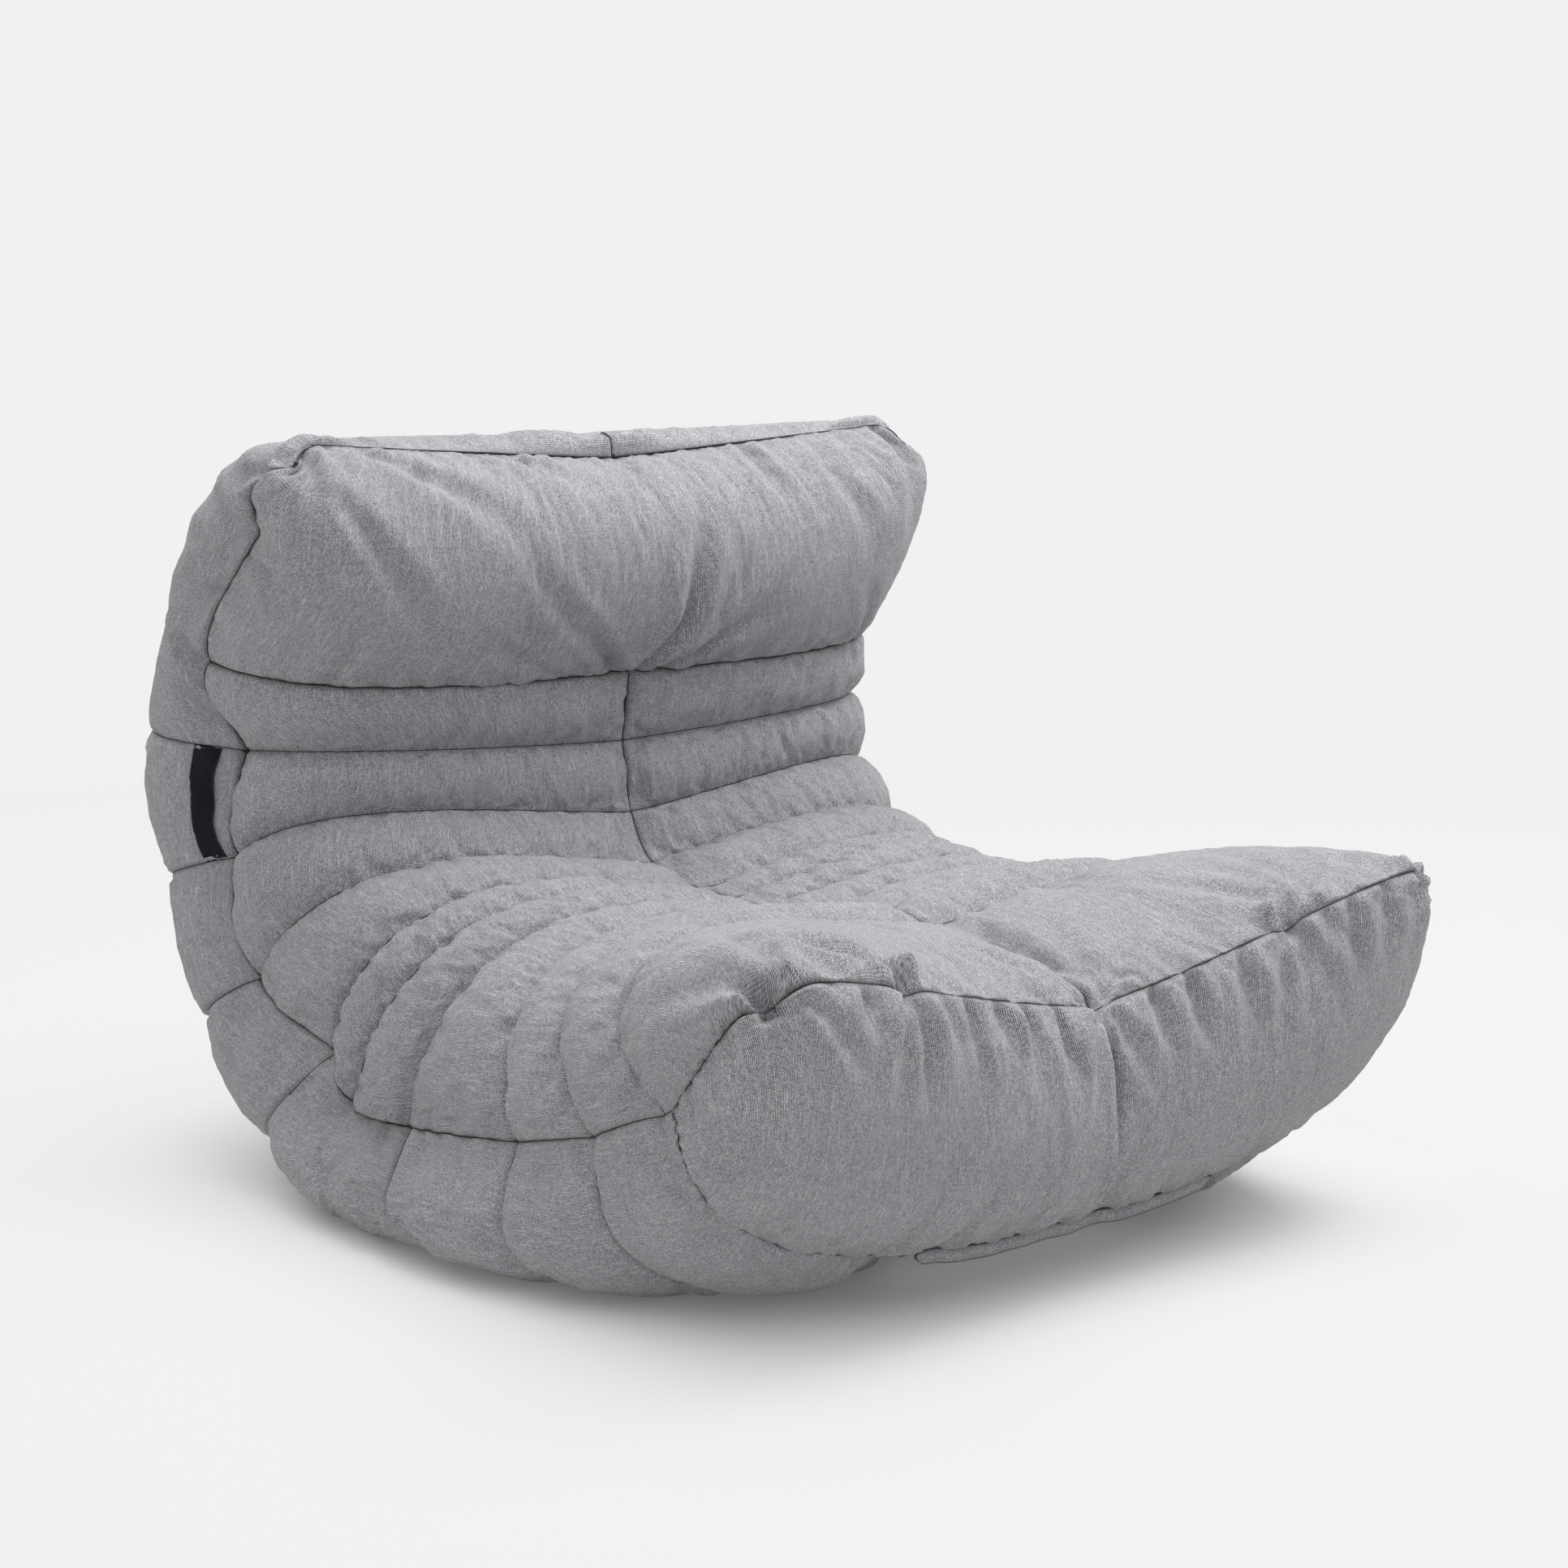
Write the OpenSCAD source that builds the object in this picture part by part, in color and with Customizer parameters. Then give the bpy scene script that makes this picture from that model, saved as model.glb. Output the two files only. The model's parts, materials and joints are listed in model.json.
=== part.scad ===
// Low lounge bean bag chair: sewn cover, quilted seat, two bead liners, zips.
// Millimetres, +Z up, -Y is the front, origin under the middle of the base.

/* [Overall size] */
// Full width at the widest part of the base
chair_w = 1000; // [940:10:1060]
// Full depth from the back to the front roll
chair_d = 1165; // [1105:10:1225]
// Full height to the top of the headrest
chair_h = 800; // [760:10:840]

/* [Cover] */
// Thickness of the cover fabric with its backing
cover_t = 2.5; // [2:0.5:3]
// Crown of a quilted seat channel above its seams
channel_crown = 16; // [8:1:18]
// Crown of a shell panel between its seams
shell_crown = 11; // [4:1:12]
// Forward bulge of the front panel
front_bulge = 52; // [40:1:60]
// Gap left for the stitching between two cover panels
seam_gap = 0.8; // [0.6:0.1:1.2]

/* [Filling] */
// Depth of the wadding under the quilted face
wadding_t = 5; // [3:1:6]
// Thickness of the liner fabric
liner_t = 1.2; // [1:0.1:1.6]
// Space between the cover seams and the liners
liner_clear = 15; // [14:1:17]

/* [Zips] */
// Length of the cover zip in the front base seam
zip_len = 380; // [340:10:400]
// Length of each liner zip
liner_zip_len = 300; // [240:10:320]
// Depth of the cover zip behind its placket
zip_depth = 15; // [14:1:16]
// Width of one zip tape
tape_w = 12; // [10:1:14]

/* [Label] */
// Share of the shell height that the side label takes
label_span = 0.84; // [0.7:0.02:0.9]

/* [Hidden] */

size_scale = [chair_w/1000, chair_d/1165, chair_h/800];
mid_forward = -115.4;            // middle of the depth on the forward axis of the profiles

// Side-view profiles as [forward, up], one point at each station:
// top seam, two across the headrest, ten quilting seams, front seam.
centre = [[-357, 767], [-285, 715], [-280, 620], [-325, 530], [-340, 450],
          [-325, 370], [-287, 317], [-200, 299], [-147, 296], [-88, 292],
          [-14, 291], [80, 302], [177, 316], [412, 276]];
rim    = [[-354, 800], [-286, 726], [-274, 638], [-275, 530], [-305, 475],
          [-303, 450], [-253, 421], [-188, 410], [-108, 425], [-40, 438],
          [-30, 425], [0, 407], [100, 382], [480, 396]];
edge   = [[-336, 796], [-366, 760], [-405, 682], [-515, 557], [-472, 463],
          [-463, 350], [-412, 226], [-275, 170], [-232, 124], [-132, 118],
          [67, 146], [200, 180], [318, 226], [344, 240]];
keel   = [[-366, 778], [-530, 762], [-628, 686], [-665, 590], [-698, 480],
          [-650, 292], [-561, 131], [-410, 8], [-205, 0], [-36, 0],
          [122, 0], [240, 0], [318, 22], [366, 50]];
// Half widths of the quilted face and of the shell below it
half_w  = [438, 445, 432, 430, 410, 430, 436, 430, 434, 432, 439, 446, 451, 462];
shell_w = [438, 450, 468, 470, 495, 491, 488, 496, 522, 532, 498, 450, 438, 458];
// Squareness of each cross-section, face side and shell side
face_n  = [2.6, 3.0, 3.0, 2.7, 2.7, 2.3, 2.5, 2.5, 2.4, 2.2, 2.1, 2.2, 2.7, 6.0];
shell_n = [2.6, 2.4, 2.6, 2.5, 2.9, 2.9, 3.0, 3.4, 3.9, 4.0, 3.8, 3.2, 2.7, 2.6];
// Stations where the face and the shell are sewn across
face_seams  = [0, 3, 4, 5, 6, 7, 8, 9, 10, 11, 12, 13];
shell_seams = [0, 4, 5, 6, 7, 9, 10, 11, 13];
last = len(centre) - 1;
face_cols = 12;                // columns from the middle to one side edge
gap_v = 0.004;                 // share of a station left open at a cross seam
base_start = 7;                // station where the base panel begins
base_inset = 0.28;             // how far the base seam sits in from the keel
base_t = 3;
placket_h = 12;
placket_t = 2.2;
slider_l = 13;
coil_gap = 0.8;                // from the zip's middle line to each coil half
coil_w = 2.3;
coil_h = 2.2;
tape_t = 0.8;
liner_from = 1;                // stations that the two liners span
liner_split = 6.5;
liner_to = 12;  
split_gap = 0.22;
liner_bulge = 90;
end_steps = [0.48, 0.34, 0.17];
label_from = 0.03;             // label place on the shell, shares of a half girth
label_to = 0.10;
fabric = [0.68, 0.68, 0.70];
padding = [0.93, 0.93, 0.90];
liner_colour = [0.85, 0.85, 0.82];
dark = [0.16, 0.17, 0.20];

// ---- body surface -------------------------------------------------------
// Smooth curve through a list of points, v counted in stations
function along(list, v) =
    let (n = len(list) - 1, i = min(floor(max(v, 0)), n - 1), t = v - i,
         a = list[max(i - 1, 0)], b = list[i], c = list[i + 1],
         d = list[min(i + 2, n)])
    0.5*(2*b + (c - a)*t + (2*a - 5*b + 4*c - d)*t*t + (3*b - a - 3*c + d)*t*t*t);

function place(x, p) = [x*size_scale[0], (mid_forward - p[0])*size_scale[1],
                        max(p[1], 0)*size_scale[2]];

// g runs round the body: 0 middle of the face, 1 side edge, 2 keel; minus is left
function face_point(v, g) =
    let (c = along(centre, v), r = along(rim, v), e = along(edge, v),
         n = along(face_n, v), s = pow(sin(90*abs(g)), 2/n),
         drop = 1 - pow(max(cos(90*abs(g)), 0), 2/n))
    place(sign(g)*along(half_w, v)*s, c + (r - c)*pow(s, 1.25) + (e - r)*drop);

function shell_point(v, g) =
    let (e = along(edge, v), k = along(keel, v), n = along(shell_n, v),
         w = along(half_w, v), s = abs(g) - 1,
         out = w + (along(shell_w, v) - w)*pow(sin(180*min(s, 1)), 0.6))
    place(sign(g)*out*pow(max(cos(90*s), 0), 2/n), e + (k - e)*pow(sin(90*s), 2/n));

function skin(v, g) = abs(g) <= 1 ? face_point(v, g) : shell_point(v, g);

// Front panel between the front seam (t = 0) and its lower seam (t = 1)
function opposite(g) = (g < 0 ? -1 : 1)*(2 - abs(g));
function bridge(v, g, t, bulge) =
    let (a = skin(v, g), b = skin(v, opposite(g)),
         f = pow(max(sin(180*t), 0), 0.75)*pow(max(1 - pow(min(abs(g), 2 - abs(g)), 2.6), 0), 0.5))
    a + (b - a)*t + bulge*f*[0, -0.87, -0.49];

// Height of the crown between two seams
function crown(v, seams) =
    let (k = max([for (i = [0:len(seams) - 2]) if (seams[i] <= v) i]),
         u = (v - seams[k])/(seams[k + 1] - seams[k]))
    pow(max(sin(180*u), 0), 0.6);

function face_crown(v, g) =
    channel_crown*crown(v, face_seams)*(1 - pow(abs(g), 10))
    *(v < 3 ? 0.6 : pow(min(abs(g)/0.1, 1), 0.5));

function base_end(v) = v <= base_start ? 1
    : 1 - base_inset*pow(min((v - base_start)/1.5, 1), 0.5);

function shell_crown_at(v, g) =
    let (s = (abs(g) - 1)/base_end(v))
    shell_crown*crown(v, shell_seams)*(1 - pow(1 - s, 8))*(1 - pow(s, 8))
    *min(skin(v, g)[2]/60, 1);

// ---- grids of points ----------------------------------------------------
function steps(a, b, n) = [for (i = [0:n]) a + (b - a)*i/n];
// Columns packed towards the middle line
function packed(a, b, n) = [for (i = [0:n]) let (u = a + (b - a)*i/n) sign(u)*pow(abs(u), 1.7)];

function unit(v) = v/max(norm(v), 1e-6);
// Outward direction at every point of a grid; wrap joins the last column to the first
function normals(grid, wrap = false) =
    let (r = len(grid) - 1, c = len(grid[0]) - 1)
    [for (i = [0:r]) [for (j = [0:c])
        unit(cross(grid[i][wrap ? (j + 1)%(c + 1) : min(j + 1, c)]
                   - grid[i][wrap ? (j + c)%(c + 1) : max(j - 1, 0)],
                   grid[max(i - 1, 0)][j] - grid[min(i + 1, r)][j]))]];

function lifted(grid, nrm, lift) =
    [for (i = [0:len(grid) - 1]) [for (j = [0:len(grid[0]) - 1])
        grid[i][j] + nrm[i][j]*lift[i][j]]];

function flat_list(rows) = [for (r = rows) each r];
function part_of(grid, a, b) = [for (r = grid) [for (j = [a:b]) r[j]]];

// Solid sheet between two grids of the same size
module sheet(top, low) {
    r = len(top); c = len(top[0]); k = r*c;
    function at(i, j) = i*c + j;
    faces = [
        for (i = [0:r - 2], j = [0:c - 2]) each
            [[at(i, j), at(i, j + 1), at(i + 1, j)], [at(i, j + 1), at(i + 1, j + 1), at(i + 1, j)]],
        for (i = [0:r - 2], j = [0:c - 2]) each
            [[k + at(i, j), k + at(i + 1, j), k + at(i, j + 1)],
             [k + at(i, j + 1), k + at(i + 1, j), k + at(i + 1, j + 1)]],
        for (i = [0:r - 2]) each
            [[at(i, 0), at(i + 1, 0), k + at(i, 0)], [at(i + 1, 0), k + at(i + 1, 0), k + at(i, 0)],
             [at(i, c - 1), k + at(i, c - 1), at(i + 1, c - 1)],
             [at(i + 1, c - 1), k + at(i, c - 1), k + at(i + 1, c - 1)]],
        for (j = [0:c - 2]) each
            [[at(0, j), k + at(0, j), at(0, j + 1)], [k + at(0, j), k + at(0, j + 1), at(0, j + 1)],
             [at(r - 1, j), at(r - 1, j + 1), k + at(r - 1, j)],
             [k + at(r - 1, j), at(r - 1, j + 1), k + at(r - 1, j + 1)]]];
    polyhedron(concat(flat_list(top), flat_list(low)), faces, convexity = 10);
}

// ---- cover panels -------------------------------------------------------
face_g = packed(-1, 1, 2*face_cols);
shell_cols = 10;
function face_grid(a, b, n) = [for (v = steps(a, b, n)) [for (g = face_g) skin(v, g*0.9999)]];
// The fabric thins out into the side edge seam
function thinned(g) = min(1, 0.15 + abs(1 - abs(g))/0.06);
function face_lift(a, b, n, depth) =
    [for (v = steps(a, b, n)) [for (g = face_g) face_crown(v, g) - depth*thinned(g)]];
function apart(grid, side) = [for (r = grid) [for (p = r)
    [abs(p[0]) < 0.5*seam_gap ? side*0.5*seam_gap : p[0], p[1], p[2]]]];

// Face panel over stations a to b, columns i to j of the full width
module face_panel(a, b, n, i, j, side = 0) {
    base = face_grid(a, b, n);
    nrm = normals(base);
    top = lifted(base, nrm, face_lift(a, b, n, 0));
    low = lifted(base, nrm, face_lift(a, b, n, cover_t));
    if (side == 0) sheet(top, low);
    else sheet(apart(part_of(top, i, j), side), apart(part_of(low, i, j), side));
}

module padding_panel(a, b, n, i, j, side = 0) {
    base = face_grid(a, b, n);
    nrm = normals(base);
    upper = [for (r = base) [for (p = r) -cover_t - 3.2]];
    lower = [for (r = base) [for (p = r) -cover_t - 3.2 - wadding_t]];
    top = part_of(lifted(base, nrm, upper), i, j);
    low = part_of(lifted(base, nrm, lower), i, j);
    if (side == 0) sheet(top, low);
    else sheet(apart(top, side), apart(low, side));
}

module headrest_panel() color(fabric)
    face_panel(0.05, 3 - gap_v, 12, 0, 2*face_cols);
module seat_quilt_left() color(fabric)
    face_panel(3 + gap_v, last - gap_v, 40, 0, face_cols, -1);
module seat_quilt_right() color(fabric)
    face_panel(3 + gap_v, last - gap_v, 40, face_cols, 2*face_cols, 1);
module headrest_wadding() color(padding)
    padding_panel(1.1, 2.9, 6, 1, 2*face_cols - 1);
module quilt_wadding_left() color(padding)
    padding_panel(3.1, last - 0.3, 16, 1, face_cols, -1);
module quilt_wadding_right() color(padding)
    padding_panel(3.1, last - 0.3, 16, face_cols, 2*face_cols - 1, 1);

function shell_g(v, u) = let (far = base_end(v) - (v > base_start ? 0.002 : 0))
    1.0008 + (far - 0.0008)*(1 - pow(1 - u, 1.6));
module side_shell(side) {
    vs = steps(0.05, last - gap_v, 44);
    us = side > 0 ? steps(0, 1, shell_cols) : steps(1, 0, shell_cols);
    base = [for (v = vs) [for (u = us) skin(v, side*shell_g(v, u))]];
    nrm = normals(base);
    top = lifted(base, nrm, [for (v = vs) [for (u = us) shell_crown_at(v, shell_g(v, u))]]);
    low = lifted(base, nrm, [for (v = vs) [for (u = us)
        shell_crown_at(v, shell_g(v, u)) - cover_t*thinned(shell_g(v, u))]]);
    sheet(apart(top, side), apart(low, side));
}
module side_shell_left() color(fabric) side_shell(-1);
module side_shell_right() color(fabric) side_shell(1);

module front_panel() color(fabric) {
    gs = packed(-0.9999, 0.9999, 24);
    base = [for (k = steps(0, 1, 8)) [for (g = gs)
        let (span = norm(skin(last, g) - skin(last, opposite(g))),
             t0 = min(4/span, 0.3), t1 = 1 - min(3.5/span, 0.3))
        bridge(last, g, t0 + (t1 - t0)*k, front_bulge)]];
    nrm = normals(base);
    sheet(base, lifted(base, nrm, [for (r = base) [for (p = r) -cover_t]]));
}

// Flat base with a sloping rim up to the shell and front seams
function mirror_x(p) = [-p[0], p[1], p[2]];
function base_ring() = let (
    side = [for (v = steps(base_start + 0.03, last - 0.12, 26))
            skin(v, 1.003 + min(base_end(v), 0.99))],
    front = [for (g = steps(1.03 + base_end(last), 2, 7)) skin(last, g) + [0, 4, -2.5]])
    concat([skin(base_start, 2) - [0, 2, 0]], side, front,
           [for (i = [len(front) - 2:-1:0]) mirror_x(front[i])],
           [for (i = [len(side) - 1:-1:0]) mirror_x(side[i])]);
function inward(p, d) = p + d*unit([-p[0], 60 - p[1], 0]);
// Faces between two closed rings of n points each
function strip(n, lo, hi) = [for (i = [0:n - 1]) each let (j = (i + 1)%n)
    [[lo*n + i, hi*n + i, hi*n + j], [lo*n + i, hi*n + j, lo*n + j]]];
module base_panel() color(fabric) {
    a = base_ring();
    n = len(a);
    b = [for (p = a) let (q = inward(p, 16 + 1.1*p[2])) [q[0], q[1], 0]];
    c = [for (p = a) let (q = inward(p, 20 + 1.1*p[2])) [q[0], q[1], base_t]];
    d = [for (p = a) inward(p, 3) + [0, 0, 1.5]];
    faces = concat([[for (i = [n - 1:-1:0]) n + i], [for (i = [0:n - 1]) 2*n + i]],
                   strip(n, 0, 1), strip(n, 3, 0), strip(n, 2, 3));
    polyhedron(concat(a, b, c, d), faces, convexity = 6);
}

module woven_label() color(dark) {
    half = 0.5*label_span;
    vs = steps(4.5 - half, 4.5 + half, 6);
    gs = steps(-1 - label_to, -1 - label_from, 3);
    base = [for (v = vs) [for (g = gs) skin(v, g)]];
    nrm = normals(base);
    sheet(lifted(base, nrm, [for (v = vs) [for (g = gs) shell_crown_at(v, g) + 2.6]]),
          lifted(base, nrm, [for (v = vs) [for (g = gs) shell_crown_at(v, g) + 1.2]]));
}

// ---- cover zip, in its own frame: x along it, y to the front panel, z outwards
zip_angle = 130.5;
module in_front_seam() translate(skin(last, 2)) rotate([zip_angle, 0, 0]) children();

module bar(x, y, z) translate([x[0], y[0], z[0]]) cube([x[1] - x[0], y[1] - y[0], z[1] - z[0]]);

module zip_half(length, side) mirror([0, side > 0 ? 0 : 1, 0]) {
    bar([-length/2, length/2], [coil_gap, coil_gap + coil_w], [-coil_h/2, coil_h/2]);
    bar([-length/2 - 4, length/2 + 4], [coil_gap + coil_w - 0.3, coil_gap + coil_w + tape_w],
        [-tape_t/2, tape_t/2]);
}

// Two plates joined by a web that runs between the coil halves
module slider_body() {
    w = coil_gap + coil_w + 1.4;
    for (s = [0, 1]) mirror([0, 0, s]) {
        translate([0, 0, coil_h/2 + 0.4]) linear_extrude(1.2)
            polygon([[-slider_l/2, -w + 1], [-slider_l/2, w - 1], [slider_l/2 - 4, w],
                     [slider_l/2, w - 2], [slider_l/2, -w + 2], [slider_l/2 - 4, -w]]);
        for (f = [0, 1]) mirror([0, f, 0])
            bar([-slider_l/2 + 1, slider_l/2 - 4], [w - 1.1, w - 0.4], [tape_t/2 + 0.3, coil_h/2 + 0.5]);
    }
    bar([1, slider_l/2 - 1], [-coil_gap + 0.3, coil_gap - 0.3], [-coil_h/2 - 0.5, coil_h/2 + 0.5]);
    bar([-4, 3], [-1.4, 1.4], [coil_h/2 + 1.5, coil_h/2 + 2.6]);
}

module zip_stop_pair(length) for (s = [-1, 1])
    translate([s*(length/2 + 3), 0, 0])
        bar([-1.5, 1.5], [-4, 4], [tape_t/2 + 0.1, tape_t/2 + 1.5]);

module zip_tape_front() color(dark) in_front_seam() translate([0, 0, -zip_depth]) zip_half(zip_len, 1);
module zip_tape_base() color(dark) in_front_seam() translate([0, 0, -zip_depth]) zip_half(zip_len, -1);
module zip_stops() color([0.7, 0.7, 0.7])
    in_front_seam() translate([0, 0, -zip_depth]) zip_stop_pair(zip_len);
zip_home = zip_len/2 - slider_l/2 - 1;
module zip_slider() color([0.6, 0.6, 0.62])
    in_front_seam() translate([-zip_home, 0, -zip_depth]) slider_body();
module zip_placket() color(fabric) in_front_seam() translate([0, -placket_h + 1, 1.5])
    linear_extrude(placket_t)
        polygon([[-zip_len/2 - 14, placket_h], [-zip_len/2 + 4, 0], [zip_len/2 - 4, 0],
                 [zip_len/2 + 14, placket_h]]);

// ---- liners and their filling -------------------------------------------
face_half = [for (i = [0:face_cols]) pow(i/face_cols, 1.7)];
ring_g = concat([for (i = [face_cols:-1:1]) -face_half[i]], face_half,
                [for (i = [face_cols - 1:-1:0]) 2 - face_half[i]],
                [for (i = [1:face_cols - 1]) -2 + face_half[i]]);
ring_n = len(ring_g);

// Ring of points a depth d inside the body; t moves it on towards the middle line
function inner_row(v, t, bulge, d) = [for (g = ring_g)
    let (span = norm(skin(v, g) - skin(v, opposite(g))),
         p = bridge(v, g, max(t, min(d/max(span, 1), 0.26 + 0.008*d)), bulge))
    [p[0]*(1 - 0.25*t)*(1 - (3*d - 18)/450), p[1], p[2]]];
// Rings between two stations, closed at both ends by rows that meet on the middle line
function body_rows(a, b, n, bulge, d) = let (e = (d - liner_clear)/(d > liner_clear + liner_t ? 28 : 70)) concat(
    [for (t = end_steps) inner_row(a + e, t, 0, d)],
    [for (v = steps(a + e, b - e, n)) inner_row(v, 0, 0, d)],
    [for (i = [len(end_steps) - 1:-1:0])
        inner_row(b - e, end_steps[i], max(bulge - 1.5*(d - liner_clear), 0), d)]);

function tube_faces(r, k, out) = [for (i = [0:r - 2], j = [0:ring_n - 1]) each
    let (a = k + i*ring_n + j, b = k + i*ring_n + (j + 1)%ring_n, c = a + ring_n, d = b + ring_n)
    out ? [[a, b, c], [b, d, c]] : [[a, c, b], [b, c, d]]];
function opposite_col(j) = (ring_n - j)%ring_n;
// Strip that closes one end row; up tells which way it faces
function end_faces(k, up) = [for (j = [0:ring_n/2 - 1]) each
    let (a = k + j, b = k + j + 1, c = k + opposite_col(j + 1), d = k + opposite_col(j))
    j == 0 ? [up ? [a, b, c] : [a, c, b]]
    : j == ring_n/2 - 1 ? [up ? [a, b, d] : [a, d, b]]
    : up ? [[a, b, c], [a, c, d]] : [[a, c, b], [a, d, c]]];

module bead_body(rows) {
    r = len(rows);
    polyhedron(flat_list(rows), concat(tube_faces(r, 0, true), end_faces(0, false),
               end_faces((r - 1)*ring_n, true)), convexity = 8);
}
// Bag of liner fabric, left open along a slit in its last row for its zip
module liner_bag(out, inn) {
    r = len(out);
    k = r*ring_n;
    z = (r - 1)*ring_n;
    rim_faces = [for (j = [0:ring_n - 1]) each let (i = (j + 1)%ring_n)
        [[z + j, z + i, k + z + j], [z + i, k + z + i, k + z + j]]];
    polyhedron(concat(flat_list(out), flat_list(inn)),
               concat(tube_faces(r, 0, true), end_faces(0, false), tube_faces(r, k, false),
                      end_faces(k, true), rim_faces), convexity = 10);
}

function back_rows(d) = body_rows(liner_from, liner_split - split_gap, 11, 0, d);
function seat_rows(d) = body_rows(liner_split + split_gap, liner_to, 11, liner_bulge, d);
fill_depth = liner_clear + liner_t + 9;
module back_liner() color(liner_colour)
    liner_bag(back_rows(liner_clear), back_rows(liner_clear + liner_t));
module seat_liner() color(liner_colour)
    liner_bag(seat_rows(liner_clear), seat_rows(liner_clear + liner_t));
module back_bead_fill() color("white") bead_body(back_rows(fill_depth));
module seat_bead_fill() color("white") bead_body(seat_rows(fill_depth));

// Baffle across the body between the two liners
module chamber_baffle() color(liner_colour) {
    base = [for (t = [0.06, 0.2, 0.5, 0.8, 0.94])
            [for (g = packed(-0.7, 0.7, 20)) bridge(liner_split, g, t, 0)]];
    nrm = normals(base);
    sheet(lifted(base, nrm, [for (r = base) [for (p = r) 0.6]]),
          lifted(base, nrm, [for (r = base) [for (p = r) -0.6]]));
}

// Liner zips lie flat over each liner's slit
module on_end(v, bulge, away) {
    top = bridge(v, 0, 0.4, bulge);
    low = bridge(v, 0, 0.6, bulge);
    d = low - top;
    translate((top + low)/2) rotate([atan2(-d[2], -d[1]), 0, 0]) translate([0, 0, away]) children();
}
module back_zip_place() on_end(liner_split - split_gap, 0, 5.5) children();
module seat_zip_place() on_end(liner_to, liner_bulge, 6.5) children();
module liner_zip() { zip_half(liner_zip_len, 1); zip_half(liner_zip_len, -1); }
liner_zip_home = liner_zip_len/2 - slider_l/2 - 1;
module back_liner_zip() color([0.8, 0.8, 0.78]) back_zip_place() liner_zip();
module seat_liner_zip() color([0.8, 0.8, 0.78]) seat_zip_place() liner_zip();
module back_liner_slider() color([0.6, 0.6, 0.62])
    back_zip_place() translate([-liner_zip_home, 0, 0]) slider_body();
module seat_liner_slider() color([0.6, 0.6, 0.62])
    seat_zip_place() translate([-liner_zip_home, 0, 0]) slider_body();

headrest_panel();
seat_quilt_left();
seat_quilt_right();
headrest_wadding();
quilt_wadding_left();
quilt_wadding_right();
side_shell_left();
side_shell_right();
front_panel();
base_panel();
woven_label();
zip_placket();
zip_tape_front();
zip_tape_base();
zip_stops();
zip_slider();
back_liner();
seat_liner();
back_bead_fill();
seat_bead_fill();
chamber_baffle();
back_liner_zip();
back_liner_slider();
seat_liner_zip();
seat_liner_slider();
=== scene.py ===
"""Low lounge bean bag chair: quilted linen cover, side label, hidden zip and studio."""
import json
import math
import bmesh
import bpy
import numpy as np
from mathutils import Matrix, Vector
from mathutils.kdtree import KDTree


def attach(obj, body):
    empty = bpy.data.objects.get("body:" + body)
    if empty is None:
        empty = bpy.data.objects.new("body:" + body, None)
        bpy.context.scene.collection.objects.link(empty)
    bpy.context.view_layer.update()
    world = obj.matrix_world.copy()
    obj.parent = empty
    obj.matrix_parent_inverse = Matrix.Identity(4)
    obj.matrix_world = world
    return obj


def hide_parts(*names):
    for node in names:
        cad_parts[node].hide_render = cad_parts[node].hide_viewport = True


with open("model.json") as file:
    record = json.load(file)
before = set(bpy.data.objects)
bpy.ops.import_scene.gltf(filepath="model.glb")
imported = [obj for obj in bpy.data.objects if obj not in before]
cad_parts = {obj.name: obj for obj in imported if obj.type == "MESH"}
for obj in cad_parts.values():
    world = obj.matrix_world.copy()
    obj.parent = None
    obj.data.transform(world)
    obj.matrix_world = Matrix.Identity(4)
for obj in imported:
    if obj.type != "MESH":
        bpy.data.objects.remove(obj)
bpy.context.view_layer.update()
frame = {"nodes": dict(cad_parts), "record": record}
nodes = frame["nodes"]
scene = bpy.context.scene
MM = 0.001
CLEARANCE = 0.5   # lowest the cover hangs above the floor, millimetres
FACE_CROWN, SHELL_CROWN = (15, 0.16), (11, 0.13)   # most height, most share of the width
NOTCHES = (-278, 0, 240)   # x of the notches in the front seam
LEFT_STAR = -436   # x of the pinch at the left front corner

# ---- the body surface, as in part.scad (millimetres) ----
# Side-view profiles as [forward, up], one point at each station:
# top seam, two across the headrest, ten quilting seams, front seam.
CENTRE = [[-357, 767], [-285, 715], [-280, 620], [-325, 530], [-340, 450],
          [-325, 370], [-287, 317], [-200, 299], [-147, 296], [-88, 292],
          [-14, 291], [80, 302], [177, 316], [412, 276]]
RIM = [[-354, 800], [-286, 726], [-274, 638], [-275, 530], [-305, 475],
       [-303, 450], [-253, 421], [-188, 410], [-108, 425], [-40, 438],
       [-30, 425], [0, 407], [100, 382], [480, 396]]
EDGE = [[-336, 796], [-366, 760], [-405, 682], [-515, 557], [-472, 463],
        [-463, 350], [-412, 226], [-275, 170], [-232, 124], [-132, 118],
        [67, 146], [200, 180], [318, 226], [344, 240]]
KEEL = [[-366, 778], [-530, 762], [-628, 686], [-665, 590], [-698, 480],
        [-650, 292], [-561, 131], [-410, 8], [-205, 0], [-36, 0],
        [122, 0], [240, 0], [318, 22], [366, 50]]
HALF_W = [438, 445, 432, 430, 410, 430, 436, 430, 434, 432, 439, 446, 451, 462]
SHELL_W = [438, 450, 468, 470, 495, 491, 488, 496, 522, 532, 498, 450, 438, 458]
FACE_N = [2.6, 3.0, 3.0, 2.7, 2.7, 2.3, 2.5, 2.5, 2.4, 2.2, 2.1, 2.2, 2.7, 6.0]
SHELL_N = [2.6, 2.4, 2.6, 2.5, 2.9, 2.9, 3.0, 3.4, 3.9, 4.0, 3.8, 3.2, 2.7, 2.6]
CENTRE, RIM, EDGE, KEEL, HALF_W, SHELL_W, FACE_N, SHELL_N = [
    np.array(p, float) for p in (CENTRE, RIM, EDGE, KEEL, HALF_W, SHELL_W, FACE_N, SHELL_N)]
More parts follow.
